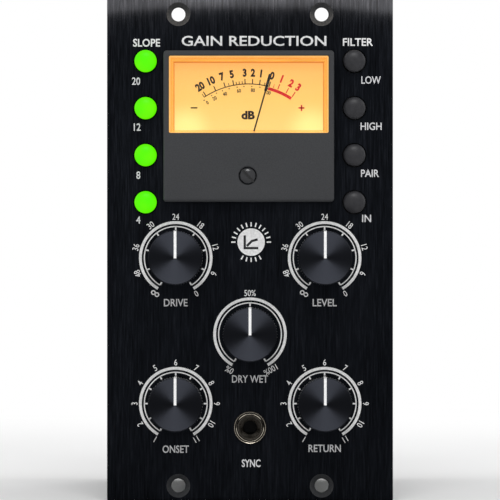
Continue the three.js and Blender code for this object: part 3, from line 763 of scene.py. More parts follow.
def makePanel():
    rear = 0.0
    plate = addBlock((panelLow.x, panelFront, panelBottom), (panelHigh.x, rear, panelTop))
    # the rear is milled back where the module lies on the rack's rails
    rail = panel["railHeight"]
    for low, high in ((panelBottom - mm, panelBottom + rail), (panelTop - rail, panelTop + mm)):
        cutAway(plate, addBlock(
            (panelLow.x - mm, rear - panel["railStep"], low),
            (panelHigh.x + mm, rear + mm, high),
        ))
    bevelEdges(plate, panel["edgeRadius"], 2)
    for x in (-panel["rackX"], panel["rackX"]):
        for z in (-panel["rackZ"], panel["rackZ"]):
            sink = [
                (panel["rackSink"] / 2 + 0.5 * mm, panelFront - 0.5 * mm),
                (panel["rackSink"] / 2, panelFront),
                (panel["rackHole"] / 2, panelFront + panel["sinkDepth"]),
                (panel["rackHole"] / 2, 2 * mm),
            ]
            cutAway(plate, turnPiece((x, 0, z), sink, 48))
    for name in controls:
        spot = centreOf(f"{name}_knob")
        drill(plate, spot.x, spot.z, panel["potHole"])
    for name in buttons:
        spot = centreOf(name)
        drill(plate, spot.x, spot.z, panel["buttonHole"])
    spot = centreOf("jack_nut")
    drill(plate, spot.x, spot.z, panel["jackHole"])
    caseLow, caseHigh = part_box("meter_case")
    gap = panel["meterGap"]
    cutAway(plate, addBlock(
        (caseLow.x - gap, panelFront - mm, caseLow.z - gap),
        (caseHigh.x + gap, rear + mm, caseHigh.z + gap),
    ))
    finishPiece(plate, "panel_plate", materials["panel"], smoothAngle=30)
    # the sloping walls of the four countersinks are cut after the face is brushed, so they take a plain satin
    # finish; their grey, lighter than the face, is a painted sheen for the light their lower slopes catch
    plate.data.materials.append(materials["sink"])
    for face in plate.data.polygons:
        inSink = panelFront < face.center.y < panelFront + panel["sinkDepth"]
        sloping = 0.3 < abs(face.normal.y) < 0.8
        nearHole = abs(face.center.z) > panel["rackZ"] - panel["rackSink"]
        if inSink and sloping and nearHole:
            face.material_index = 1
    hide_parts("front_panel")

    posts = []
    for x, z, across in panel["standoffs"]:
        for side in (-1, 1):
            radius = across * mm / math.sqrt(3)
            profile = [
                (radius * 0.86, rear),
                (radius, rear + 0.3 * mm),
                (radius, panelHigh.y - 0.3 * mm),
                (radius * 0.86, panelHigh.y),
            ]
            posts.append(turnPiece((side * x * mm, 0, z * mm), profile, 6))
    finishPiece(joinPieces(posts), "panel_standoffs", materials["zinc"], smoothAngle=20)


ink = {
    "proud": 0.03 * mm,
    "sunk": 0.03 * mm,
    "bandInner": 9.03 * mm,
    "bandOuter": 9.78 * mm,
    "ringInner": 8.2 * mm,
    "ringOuter": 8.5 * mm,
    "tickInner": 7.45 * mm,
    "tickWidth": 0.42 * mm,
    "sweep": 150.0,
    "numeralRadius": 10.95 * mm,
    "numeralHeight": 1.62 * mm,
    "lowerHeight": 1.95 * mm,
    "loopGap": 0.55 * mm,
    "loopRadii": (0.34 * mm, 0.64 * mm),
    "badgePlace": (0.3 * mm, 2.1 * mm),
    "badgeRadius": 3.65 * mm,
    "badgeLine": 0.62 * mm,
    "badgeProud": 0.02 * mm,
    "badgeTicks": (4.15 * mm, 5.3 * mm),
    "badgeTickWidth": 0.36 * mm,
    "badgeStrokes": [  # X and Z from the badge's centre, angle, start and end
        (-1.7, -1.6, 90, -0.31, 3.6),
        (-1.7, -1.6, 0, 0.31, 3.4),
        (-1.7, -1.6, 45, 0.8, 2.7),
        (0.1, 0.25, 74, 0, 1.7),
    ],
}
inkFront = panelFront - ink["proud"]
inkRear = panelFront + ink["sunk"]
dialMarks = {
    "input": ["∞", "48", "36", "30", "24", "18", "12", "6", "0"],
    "output": ["∞", "48", "36", "30", "24", "18", "12", "6", "0"],
    "mix": ["0%", "50%", "100%"],
    "attack": [str(i) for i in range(1, 12)],
    "release": [str(i) for i in range(1, 12)],
}
knobWords = {  # word, width and how far below the knob's centre
    "input": ("DRIVE", 6.3, 11.9),
    "output": ("LEVEL", 6.4, 11.9),
    "mix": ("DRY WET", 9.6, 11.9),
    "attack": ("ONSET", 7.0, 12.1),
    "release": ("RETURN", 8.6, 11.9),
}
ratioMarks = [("20", -30.3, 44.9), ("12", -30.0, 32.7), ("8", -29.7, 19.9), ("4", -29.7, 8.0)]
switchWords = [  # word, X, Z and width
    ("LOW", 32.2, 45.2, 5.2),
    ("HIGH", 32.2, 32.9, 5.6),
    ("PAIR", 31.9, 20.4, 4.8),
    ("IN", 31.0, 8.4, 2.4),
]
headWords = [  # word, height, X, Z, width and weight
    ("GAIN REDUCTION", 2.6, 1.06, 55.6, 38.5, 0.02),
    ("SLOPE", 2.0, -27.5, 55.1, 7.2, 0.028),
    ("FILTER", 2.0, 28.7, 55.3, 8.0, 0.028),
]


def printLoop(mark):
    # the endless mark: two small rings side by side
    x, z, turn = mark
    loops = []
    for side in (-1, 1):
        centre = Vector((side * ink["loopGap"], 0, 0))
        centre.rotate(Matrix.Rotation(math.radians(turn), 3, "Y"))
        loops.append(addRing(x + centre.x, z + centre.z, *ink["loopRadii"], inkFront, inkRear, 20))
    return loops


def printDial(name):
    spot = centreOf(f"{name}_knob")
    marks = dialMarks[name]
    sweep = ink["sweep"]
    strokes = [
        addArcBand(spot.x, spot.z, ink["bandInner"], ink["bandOuter"], -sweep, sweep, inkFront, inkRear, 72),
        addArcBand(spot.x, spot.z, ink["ringInner"], ink["ringOuter"], -sweep, sweep, inkFront, inkRear, 72),
    ]
    step = 2 * sweep / (len(marks) - 1)
    for i, mark in enumerate(marks):
        angle = -sweep + i * step
        tick = (ink["tickInner"], ink["ringInner"] + 0.1 * mm, ink["tickWidth"])
        strokes.append(addBar(spot.x, spot.z, angle, *tick, inkFront, inkRear))
        out = Vector((0, 0, ink["numeralRadius"]))
        out.rotate(Matrix.Rotation(math.radians(angle), 3, "Y"))
        if mark == "∞":
            strokes += printLoop((spot.x + out.x, spot.z + out.z, angle))
        else:
            strokes.append(addWord(
                mark, ink["numeralHeight"], spot.x + out.x, spot.z + out.z, inkFront, inkRear - inkFront,
                weight=0.005, turn=angle,
            ))
    return strokes


def finishFlat(strokes, name, finish):
    finishPiece(joinPieces(strokes), name, materials[finish], smoothAngle=0)


def printBadge():
    # a plain round sign where a badge could go: a curve that bends over at its knee, with ticks round it
    x, z = ink["badgePlace"]
    disc = turnPiece((x, 0, z), [(ink["badgeRadius"], inkRear), (ink["badgeRadius"], inkFront)], 48)
    inner, outer = ink["badgeTicks"]
    bright = [disc]
    for angle in list(range(-90, 91, 15)) + list(range(150, 211, 15)):
        bright.append(addBar(x, z, angle, inner, outer, ink["badgeTickWidth"], inkFront, inkRear))
    line, front = ink["badgeLine"], inkFront - ink["badgeProud"]
    dark = []
    for right, up, angle, start, end in ink["badgeStrokes"]:
        place = (x + right * mm, z + up * mm)
        dark.append(addBar(*place, angle, start * mm, end * mm, line, front, inkFront))
    finishFlat(dark, "panel_badge_sign", "blackInk")
    return bright


def makePrinting():
    bright = []
    for name in controls:
        bright += printDial(name)
    bright += printBadge()
    depth = inkRear - inkFront
    for word, height, x, z, width, weight in headWords:
        bright.append(addWord(word, height * mm, x * mm, z * mm, inkFront, depth, width * mm, weight))
    finishFlat(bright, "panel_scales", "whiteInk")

    words = [(word, x, z, None, 0.018) for word, x, z in ratioMarks]
    words += [(word, x, z, width, 0.018) for word, x, z, width in switchWords]
    words.append(("SYNC", 0.3, -56.7, 5.0, 0.03))
    soft = []
    for name in controls:
        spot = centreOf(f"{name}_knob")
        word, width, drop = knobWords[name]
        z = spot.z - drop * mm
        soft.append(addWord(word, ink["lowerHeight"], spot.x, z, inkFront, depth, width * mm, 0.018))
    for word, x, z, width, weight in words:
        squeezed = width * mm if width else None
        soft.append(addWord(word, ink["lowerHeight"], x * mm, z * mm, inkFront, depth, squeezed, weight))
    finishFlat(soft, "panel_labels", "greyInk")


knob = {
    "flutes": 60,
    "fluteDepth": 0.28 * mm,
    "faceInset": 0.12 * mm,
    "chamfer": 0.25 * mm,
    "skirt": 0.9 * mm,
    "skirtInset": 0.15 * mm,
    "pointerWidth": 0.72 * mm,
    "pointerProud": 0.03 * mm,
    "grubHole": 2.6 * mm,
    "grubDepth": 1.4 * mm,
    "grubBehind": 1.5 * mm,  # from the middle of the knob's height
    "grubRadius": 1.2 * mm,
    "grubSocket": (0.7 * mm, 1.7 * mm),
}


def makeKnob(name):
    low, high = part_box(f"{name}_knob")
    centre = (low + high) / 2
    radius = (high.x - low.x) / 2
    front, rear = low.y, high.y
    spot = (centre.x, 0, centre.z)
    body = f"{name}_control"

    flutes = turnPiece(spot, [
        (radius, rear - knob["skirt"]),
        (radius, front + knob["chamfer"]),
    ], 2 * knob["flutes"])
    valley = radius - knob["fluteDepth"]
    for vertex in flutes.data.vertices:
        out = Vector((vertex.co.x - centre.x, 0, vertex.co.z - centre.z))
        turn = round(math.atan2(out.z, out.x) / math.pi * knob["flutes"])
        if turn % 2:
            vertex.co += out.normalized() * (valley - radius)
    skirtRadius = valley - knob["skirtInset"]
    skirt = turnPiece(spot, [
        (skirtRadius - 0.4 * mm, rear),
        (skirtRadius, rear - 0.3 * mm),
        (skirtRadius, rear - knob["skirt"] - 0.1 * mm),
    ], 64)
    side = joinPieces([flutes, skirt])
    holeZ = centre.z - radius
    grubPlace = (centre.x, (front + rear) / 2 + knob["grubBehind"], 0)
    cutAway(side, turnPiece(grubPlace, [
        (knob["grubHole"] / 2, holeZ - mm),
        (knob["grubHole"] / 2, holeZ + knob["grubDepth"]),
    ], 24, "Z"))
    finishPiece(side, f"{name}_knob_side", materials["fluted"], body, 25)
    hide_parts(f"{name}_knob")

    faceRadius = radius - knob["faceInset"]
    face = turnPiece(spot, [
        (faceRadius - 0.2 * mm, front + 2 * knob["chamfer"]),
        (faceRadius, front + knob["chamfer"]),
        (faceRadius - knob["chamfer"], front),
    ], 96)
    finishPiece(face, f"{name}_knob_face", materials["spun"], body, 25)

    left, right = centre.x - knob["pointerWidth"] / 2, centre.x + knob["pointerWidth"] / 2
    line = addBlock(
        (left, front - knob["pointerProud"], centre.z - 0.1 * mm),
        (right, front + 0.05 * mm, centre.z + faceRadius - 0.06 * mm),
    )
    edge = addBlock(
        (left, front + knob["chamfer"], centre.z + valley - 0.2 * mm),
        (right, rear - knob["skirt"], centre.z + radius),
    )
    pointer = joinPieces([line, edge])
    bevelEdges(pointer, 0.02 * mm, 1)
    finishPiece(pointer, f"{name}_knob_pointer", materials["whitePaint"], body, 0)

    grub = turnPiece(grubPlace, [
        (knob["grubRadius"], holeZ + 2 * knob["grubDepth"]),
        (knob["grubRadius"], holeZ + 0.9 * mm),
        (knob["grubRadius"] - 0.25 * mm, holeZ + 0.7 * mm),
    ], 24, "Z")
    socket, depth = knob["grubSocket"]
    cutAway(grub, turnPiece(grubPlace, [(socket, holeZ), (socket, holeZ + depth)], 6, "Z"))
    finishPiece(grub, f"{name}_knob_grub_screw", materials["zinc"], body, 25)


button = {
    "dome": 1.15 * mm,
    "domeSteps": 9,
    "tip": 0.04 * mm,
    "collarWidth": 0.6 * mm,
    "collarDepth": 1.0 * mm,
    "collarFront": 0.4 * mm,
    "stemRadius": 1.4 * mm,
}


def makeButton(name):
    low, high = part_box(name)
    centre = (low + high) / 2
    collar = (high.x - low.x) / 2
    cap = collar - button["collarWidth"]
    stem = button["stemRadius"]
    collarFront = button["collarFront"]
    profile = [
        (stem - 0.2 * mm, high.y),
        (stem, high.y - 0.2 * mm),
        (stem, collarFront + button["collarDepth"]),
        (collar, collarFront + button["collarDepth"]),
        (collar, collarFront),
        (cap, collarFront),
        (cap, low.y + button["dome"]),
    ]
    steps = button["domeSteps"]
    for i in range(1, steps + 1):
        turn = math.pi / 2 * i / steps
        radius = max(cap * math.cos(turn), button["tip"])
        profile.append((radius, low.y + button["dome"] * (1 - math.sin(turn))))
    piece = turnPiece((centre.x, 0, centre.z), profile, 48)
    lit = name.startswith("left")
    body = name.replace("_button_", "_push_")
    finishPiece(piece, f"{name}_cap", materials["green" if lit else "smoke"], body, 40)
    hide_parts(name)


meter = {
    "bezelRadius": 0.9 * mm,
    "edgeRadius": 0.5 * mm,
    "inkDepth": 0.02 * mm,
    "window": (-21.53, 20.87, 31.07, 51.57),  # left, right, bottom and top in mm, as below
    "wallInset": (1.45, 1.45, 0.8, 1.8),
    "scaleCentre": (-0.4, 22.8),  # from here on in mm and degrees
    "arcRadius": 21.4,
    "arcLine": 0.25,
    "redLine": 0.8,
    "blackArc": (-33.5, 14.5),
    "redArc": (14.5, 33.0),
    "redInset": 0.55,
    "numeralRadius": 24.4,
    "numeralHeight": 1.9,
    "blackNumbers": [
        ("20", -31.9),
        ("10", -24.0),
        ("7", -16.8),
        ("5", -10.6),
        ("3", -2.4),
        ("2", 2.8),
        ("1", 7.9),
        ("0", 14.9),
    ],
    "redNumbers": [("1", 21.3), ("2", 27.8), ("3", 32.9)],
    "tick": (1.35, 0.28),  # length and width, as below
    "redTick": (1.5, 0.26),
    "minorTick": (0.8, 0.2),
    "minorTicks": [-13.9, -8.6, -6.5, -4.4, 11.4],
    "firstTick": (-33.4, 1.0, 0.2),
    "redMinorTick": (18.0, 0.95, 0.18),
    "lowerAngles": [-33.7, -27.2, -18.5, -7.4, 3.4, 15.2],
    "lowerBetween": [-23.2, -13.4, -2.4, 9.4],
    "lowerRadius": 19.75,
    "lowerHeight": 0.95,
    "dotRadius": 20.75,
    "dotSize": 0.17,
    "minusBar": (-15.8, -14.0, 37.65, 38.0),
    "plusBars": [(12.9, 14.5, 37.6, 38.0), (13.5, 13.9, 37.0, 38.6)],
    "unitPlace": (-0.5, 35.9),
    "unitHeight": 2.05,
}


def makeBezel():
    low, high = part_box("meter_bezel")
    left, right, bottom, top = [v * mm for v in meter["window"]]
    bezel = addBlock(low, high)
    bevelEdges(bezel, meter["bezelRadius"], 5)
    cutAway(bezel, addBlock((left, low.y - mm, bottom), (right, high.y + mm, top)))
    screw = centreOf("meter_zero_screw")
    wide, narrow, depth = zeroScrew["hole"]
    cutAway(bezel, turnPiece((screw.x, 0, screw.z), [
        (wide, low.y - mm),
        (wide, low.y + depth),
        (narrow, low.y + depth),
        (narrow, high.y + mm),
    ], 48))
    bevelEdges(bezel, meter["edgeRadius"], 3, 60)
    finishPiece(bezel, "meter_front", materials["charcoal"], smoothAngle=30)
    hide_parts("meter_bezel")


def makeLightBox():
    # the pale walls that slope in from the window to the card
    left, right, bottom, top = [v * mm for v in meter["window"]]
    inLeft, inRight, inBottom, inTop = [v * mm for v in meter["wallInset"]]
    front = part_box("meter_window")[1].y + 0.05 * mm
    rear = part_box("meter_dial")[0].y - 0.03 * mm
    gap, edge = 0.02 * mm, 0.12 * mm
    walls = addBlock((left + gap, front, bottom + gap), (right - gap, rear, top - gap))
    opening = addBlock(
        (left + edge, front - 0.01 * mm, bottom + edge),
        (right - edge, rear + 0.01 * mm, top - edge),
    )
    for vertex in opening.data.vertices:
        if vertex.co.y > (front + rear) / 2:
            vertex.co.x = left + inLeft if vertex.co.x < 0 else right - inRight
            vertex.co.z = bottom + inBottom if vertex.co.z < (bottom + top) / 2 else top - inTop
    cutAway(walls, opening)
    finishPiece(walls, "meter_light_walls", materials["amber"], smoothAngle=0)


def meterArc(radius, width, first, last, front, rear):
    x, z = (v * mm for v in meter["scaleCentre"])
    inner, outer = (radius - width / 2) * mm, (radius + width / 2) * mm
    steps = max(6, int(abs(last - first)))
    return addArcBand(x, z, inner, outer, first, last, front, rear, steps)


def meterPlace(radius, angle):
    x, z = meter["scaleCentre"]
    turn = math.radians(angle)
    return (x + radius * math.sin(turn)) * mm, (z + radius * math.cos(turn)) * mm


def meterTick(angle, length, width, front, rear):
    # a stroke out from the scale's arc
    x, z = (v * mm for v in meter["scaleCentre"])
    arc = meter["arcRadius"]
    return addBar(x, z, angle, arc * mm, (arc + length) * mm, width * mm, front, rear)


def makeDialPrint():
    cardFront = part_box("meter_dial")[0].y
    front, rear = cardFront - meter["inkDepth"], cardFront + meter["inkDepth"]
    depth = rear - front

    def addMark(mark, height, radius, angle, weight):
        x, z = meterPlace(radius, angle)
        return addWord(mark, height * mm, x, z, front, depth, weight=weight, turn=angle)

    def addSign(left, right, low, high):
        return addBlock((left * mm, front, low * mm), (right * mm, rear, high * mm))

    dark = [meterArc(meter["arcRadius"], meter["arcLine"], *meter["blackArc"], front, rear)]
    for mark, angle in meter["blackNumbers"]:
        dark.append(addMark(mark, meter["numeralHeight"], meter["numeralRadius"], angle, 0.075))
        dark.append(meterTick(angle, *meter["tick"], front, rear))
    for angle in meter["minorTicks"]:
        dark.append(meterTick(angle, *meter["minorTick"], front, rear))
    dark.append(meterTick(*meter["firstTick"], front, rear))
    for i, angle in enumerate(meter["lowerAngles"]):
        dark.append(addMark(str(20 * i), meter["lowerHeight"], meter["lowerRadius"], angle, 0.04))
    dot = meter["dotSize"] * mm
    for angle in meter["lowerAngles"] + meter["lowerBetween"]:
        x, z = meterPlace(meter["dotRadius"], angle - 1)
        dark.append(turnPiece((x, 0, z), [(dot, front), (dot, rear)], 12))
    dark.append(addSign(*meter["minusBar"]))
    x, z = (v * mm for v in meter["unitPlace"])
    dark.append(addWord("dB", meter["unitHeight"] * mm, x, z, front, depth, weight=0.07, aspect=1.1))
    finishFlat(dark, "meter_scale_black", "cardBlack")

    red = [meterArc(meter["arcRadius"] - meter["redInset"], meter["redLine"], *meter["redArc"], front, rear)]
    for mark, angle in meter["redNumbers"]:
        red.append(addMark(mark, meter["numeralHeight"], meter["numeralRadius"], angle, 0.075))
        red.append(meterTick(angle, *meter["redTick"], front, rear))
    red.append(meterTick(*meter["redMinorTick"], front, rear))
    for bar in meter["plusBars"]:
        red.append(addSign(*bar))
    finishFlat(red, "meter_scale_red", "cardRed")


needle = {
    "rear": -3.7 * mm,
    "shaft": (-3.6, -0.1, 0.4),  # start, end short of the tip and width, in mm
    "blade": (-4.8, -0.15, 0.75),
    "weight": (-3.9, -2.3, 1.3),
    "hubRadius": 1.55 * mm,
    "axleRadius": 0.5 * mm,
}


def makeNeedle():
    low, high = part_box("meter_needle")
    pivot = centreOf("meter_movement")
    tip = Vector((high.x, 0, high.z)) - Vector((pivot.x, 0, pivot.z))
    angle = math.degrees(math.atan2(tip.x, tip.z))
    reach = tip.length
    rear = needle["rear"]

    def addStroke(first, last, width, front, back):
        return addBar(pivot.x, pivot.z, angle, first, last, width * mm, rear - front * mm, rear - back * mm)

    start, end, width = needle["shaft"]
    shaft = addStroke(start * mm, reach + end * mm, width, 0.2, 0)
    start, end, width = needle["blade"]
    blade = addStroke(reach + start * mm, reach + end * mm, width, 0.24, 0.04)
    start, end, width = needle["weight"]
    weight = addStroke(start * mm, end * mm, width, 0.3, -0.1)
    hub = turnPiece((pivot.x, 0, pivot.z), [
        (needle["axleRadius"], high.y - 0.3 * mm),
        (needle["axleRadius"], rear + 0.3 * mm),
        (needle["hubRadius"], rear + 0.3 * mm),
        (needle["hubRadius"], rear - 0.5 * mm),
        (1.1 * mm, rear - 0.9 * mm),
        (0.4 * mm, low.y),
    ], 32)
    pointer = joinPieces([shaft, blade, weight, hub])
    finishPiece(pointer, "meter_pointer", materials["needle"], "needle", 30)
    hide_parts("meter_needle")


zeroScrew = {
    "headRadius": 2.25 * mm,
    "shankRadius": 1.4 * mm,
    "headDepth": 2.2 * mm,
    "slot": 0.65 * mm,
    "slotDepth": 1.3 * mm,
    "hole": (2.36 * mm, 1.5 * mm, 2.4 * mm),  # round the head, round the shank, and the first one's depth
}


def makeZeroScrew():
    low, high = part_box("meter_zero_screw")
    centre = (low + high) / 2
    head, shank, front = zeroScrew["headRadius"], zeroScrew["shankRadius"], low.y
    screw = turnPiece((centre.x, 0, centre.z), [
        (shank, high.y),
        (shank, front + zeroScrew["headDepth"]),
        (head, front + zeroScrew["headDepth"]),
        (head, front + 0.75 * mm),
        (head * 0.95, front + 0.5 * mm),
        (head * 0.8, front + 0.25 * mm),
        (head * 0.55, front + 0.08 * mm),
        (head * 0.25, front),
    ], 48)
    depth = front + zeroScrew["slotDepth"]
    cutAway(screw, addBar(centre.x, centre.z, -45, -3 * mm, 3 * mm, zeroScrew["slot"], front - mm, depth))
    finishPiece(screw, "meter_zero_screw_head", materials["gloss"], "zero_adjuster", 30)
    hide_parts("meter_zero_screw")


jack = {
    "bore": 3.7 * mm,
    "mouth": 5.5 * mm,
    "rings": 4,
    "ringPitch": 0.42 * mm,
    "bushRadius": 3.0 * mm,
    "threadPitch": 0.5 * mm,
    "threadDepth": 0.25 * mm,
    "tunnelEnd": 8.4 * mm,
    "nutProfile": [(0, 0.4), (0.12, 0.2), (0.26, 0.25), (0.34, 0.6), (0.52, 0.6), (0.62, 0.08), (0.76, 0)],
    "nutClearance": 0.02 * mm,
    "wearEdges": (0.3 * mm, 0.54 * mm, 0.8 * mm),
}


def makeJack():
    low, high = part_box("jack_body")
    spot = centreOf("jack_nut")
    front = low.y
    base = 0.0
    profile = [(jack["bushRadius"] - jack["threadDepth"], base)]
    place = base
    while place > front + 2 * jack["threadPitch"]:
        profile.append((jack["bushRadius"], place - 0.5 * jack["threadPitch"]))
        profile.append((jack["bushRadius"] - jack["threadDepth"], place - jack["threadPitch"]))
        place -= jack["threadPitch"]
    profile.append((jack["bushRadius"], front + 0.35 * mm))
    profile.append((jack["bushRadius"] - 0.2 * mm, front))
    bush = turnPiece((spot.x, 0, spot.z), profile, 64)
    # the mouth narrows in rings down to the plug's bore
    mouth, bore, pitch = jack["mouth"] / 2, jack["bore"] / 2, jack["ringPitch"]
    start = front + 0.1 * mm
    funnel = [(mouth, front - 0.3 * mm), (mouth, start)]
    for i in range(jack["rings"]):
        radius = mouth + (bore - mouth) * (i + 1) / jack["rings"]
        place = start + (i + 0.6) * pitch
        funnel.append((radius, place))
        funnel.append((radius + 0.06 * mm, place + 0.4 * pitch))
    funnel.append((bore, start + (jack["rings"] + 0.4) * pitch))
    funnel.append((bore, base + 0.5 * mm))
    cutAway(bush, turnPiece((spot.x, 0, spot.z), funnel, 64))
    finishPiece(bush, "jack_bush", materials["darkNickel"], smoothAngle=30)
    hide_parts("jack_body")

    housing = addBlock((low.x, base, low.z), (high.x, high.y, high.z))
    bevelEdges(housing, 0.4 * mm, 2)
    cutAway(housing, turnPiece((spot.x, 0, spot.z), [(bore, base - mm), (bore, jack["tunnelEnd"])], 40))
    finishPiece(housing, "jack_housing", materials["black"], smoothAngle=30)

    nutLow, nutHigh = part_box("jack_nut")
    radius = (nutHigh.x - nutLow.x) / 2
    profile = [(radius, nutHigh.y)]
    for inset, depth in jack["nutProfile"]:
        profile.append((radius - inset * mm, nutLow.y + depth * mm))
    profile.append((jack["bushRadius"] + 0.25 * mm, nutLow.y + 0.35 * mm))
    nut = turnPiece((spot.x, 0, spot.z), profile, 72)
    hole = jack["bushRadius"] + jack["nutClearance"]
    cutAway(nut, turnPiece((spot.x, 0, spot.z), [(hole, nutLow.y - mm), (hole, nutHigh.y + mm)], 64))
    finishPiece(nut, "jack_ring_nut", materials["darkNickel"], smoothAngle=30)
    # painted light: a painted highlight along the rim and the ridge, and painted shade in the groove between
    # them
    for finish in ("rimSheenNickel", "groove", "nickel"):
        nut.data.materials.append(materials[finish])
    for face in nut.data.polygons:
        inset = radius - math.hypot(face.center.x - spot.x, face.center.z - spot.z)
        passed = sum(inset > edge for edge in jack["wearEdges"])
        face.material_index = (passed + 1) % 4
    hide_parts("jack_nut")


makePanel()
print("panel made")
makePrinting()
print("printing made")
for name in controls:
    makeKnob(name)
print("knobs made")
for name in buttons:
    makeButton(name)
print("buttons made")
makeBezel()
makeLightBox()
makeDialPrint()
makeNeedle()
makeZeroScrew()
print("meter made")
makeJack()
print("jack made")
makeGlints()


fittings = {
    "headRadius": 2.3 * mm,
    "headHeight": 1.3 * mm,
    "flatHeight": 0.85 * mm,
    "recess": 0.55 * mm,
    "rearScrewX": 32.5 * mm,
    "rearScrewZ": [-50.0, -16.0, 16.0, 50.0],  # these three in mm
    "cardScrewY": [36.0, 122.0],
    "cardScrewZ": [-46.0, 46.0],
}
boards = {
    "thickness": 1.6 * mm,
    "chipPins": 4,
    "pinPitch": 2.54 * mm,
    "fingers": 15,
    "fingerPitch": 3.96 * mm,
    "fingerWidth": 2.5 * mm,
    "fingerLength": 6.8 * mm,
    "plating": 0.05 * mm,
}
turns = {
    "left": Matrix.Rotation(math.radians(90), 4, "Z"),
    "right": Matrix.Rotation(math.radians(-90), 4, "Z"),
}


def makeHead(height):
    # pan head with a cross recess, facing back from the origin
    radius = fittings["headRadius"]
    head = turnPiece((0, 0, 0), [
        (radius * 0.96, 0),
        (radius, 0.12 * mm),
        (radius, height * 0.55),
        (radius * 0.86, height * 0.85),
        (radius * 0.6, height),
    ], 32)
    long, wide = radius * 0.62, fittings["recess"] / 2
    cutAway(head, addBlock((-long, height * 0.35, -wide), (long, height + mm, wide)))
    cutAway(head, addBlock((-wide, height * 0.35, -long), (wide, height + mm, long)))
    return head


def makeScrews():
    tall = makeHead(fittings["headHeight"])
    flat = makeHead(fittings["flatHeight"])
    heads = []
    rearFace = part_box("rear_plate")[1].y
    for z in fittings["rearScrewZ"]:
        for side in (-1, 1):
            heads.append(copyPiece(tall, (side * fittings["rearScrewX"], rearFace, z * mm)))
    sides = [  # head, way it faces and the face it stands on
        (tall, "left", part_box("sidechain_board")[0].x),
        (tall, "right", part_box("main_board")[1].x),
        (flat, "left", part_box("left_side_plate")[0].x),
        (flat, "right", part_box("right_side_plate")[1].x),
    ]
    for head, facing, face in sides:
        for y in fittings["cardScrewY"]:
            for z in fittings["cardScrewZ"]:
                heads.append(copyPiece(head, (face, y * mm, z * mm), turns[facing]))
    bpy.data.objects.remove(tall)
    bpy.data.objects.remove(flat)
    finishPiece(joinPieces(heads), "chassis_screws", materials["zinc"], smoothAngle=30)


flangeNut = {
    "across": 4.0 * mm,
    "height": 1.6 * mm,
    "flangeRear": 1.2 * mm,
    "x": 33.9 * mm,
    "z": (-52.0, -20.0, 8.0, 52.0),
    "studRadius": 1.0 * mm,
    "studEnd": 2.7 * mm,
}


def makeFlangeNuts():
    # hexagon nuts behind the panel, which hold the side plates' front flanges
    nuts = []
    radius = flangeNut["across"] / math.sqrt(3)
    low, high = flangeNut["flangeRear"], flangeNut["flangeRear"] + flangeNut["height"]
    stud, studEnd = flangeNut["studRadius"], low + flangeNut["studEnd"]
    for z in flangeNut["z"]:
        for side in (-1, 1):
            spot = (side * flangeNut["x"], 0, z * mm)
            nuts.append(turnPiece(spot, [
                (radius * 0.9, low),
                (radius, low + 0.2 * mm),
                (radius, high - 0.2 * mm),
                (radius * 0.9, high),
            ], 6))
            nuts.append(turnPiece(spot, [
                (stud, low),
                (stud, studEnd - 0.3 * mm),
                (stud - 0.2 * mm, studEnd),
            ], 20))
    finishPiece(joinPieces(nuts), "flange_nuts", materials["zinc"], smoothAngle=25)


def makeFingers():
    low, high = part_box("main_board")
    end = high.y - 0.6 * mm
    width, length, plating = boards["fingerWidth"], boards["fingerLength"], boards["plating"]
    fingers = []
    for face in (low.x, high.x):
        for i in range(boards["fingers"]):
            z = (i - (boards["fingers"] - 1) / 2) * boards["fingerPitch"]
            fingers.append(addBlock(
                (face - plating, end - length, z - width / 2),
                (face + plating, end, z + width / 2),
            ))
    finishFlat(fingers, "card_edge_fingers", "gold")


boardPieces = {}  # finish: pieces of that finish, joined at the end


def keepPiece(finish, piece):
    boardPieces.setdefault(finish, []).append(piece)


def rise(face, side, first, last):
    # a span along X that stands up from a board's face
    return sorted((face + side * first, face + side * last))


chip = {
    "length": 9.6 * mm,
    "width": 6.4 * mm,
    "height": 3.4 * mm,
    "gap": 0.6 * mm,
    "notch": 0.9 * mm,
    "legWidth": 0.6 * mm,
    "legThick": 0.28 * mm,
}


def addChip(face, side, y, z):
    length, width, top = chip["length"], chip["width"], chip["gap"] + chip["height"]
    low, high = rise(face, side, chip["gap"], top)
    body = addBlock((low, y - width / 2, z - length / 2), (high, y + width / 2, z + length / 2))
    bevelEdges(body, 0.3 * mm, 1)
    notchTop = face + side * top
    cutAway(body, turnPiece((0, y, z + length / 2), [
        (chip["notch"], notchTop - side * 0.4 * mm),
        (chip["notch"], notchTop + side * mm),
    ], 16, "X"))
    keepPiece("epoxy", body)
    legLow, legHigh = rise(face, side, 0, chip["gap"] + chip["height"] * 0.55)
    thick, wide = chip["legThick"] / 2, chip["legWidth"] / 2
    for pin in range(boards["chipPins"]):
        legZ = z + (pin - (boards["chipPins"] - 1) / 2) * boards["pinPitch"]
        for edge in (-1, 1):
            legY = y + edge * (width / 2 + 0.25 * mm)
            keepPiece("tinned", addBlock(
                (legLow, legY - thick, legZ - wide),
                (legHigh, legY + thick, legZ + wide),
            ))
            addSolder(face, side, legY, legZ)


def addSolder(face, side, y, z):
    # the joint on the far side of the board
    far = face - side * boards["thickness"]
    keepPiece("solder", turnPiece((0, y, z), [
        (0.95 * mm, far + side * 0.02 * mm),
        (0.7 * mm, far - side * 0.35 * mm),
        (0.3 * mm, far - side * 0.95 * mm),
    ], 10, "X"))


resistor = {"radius": 1.15 * mm, "waist": 0.82, "length": 6.2 * mm, "lift": 1.5 * mm, "lead": 0.25 * mm}


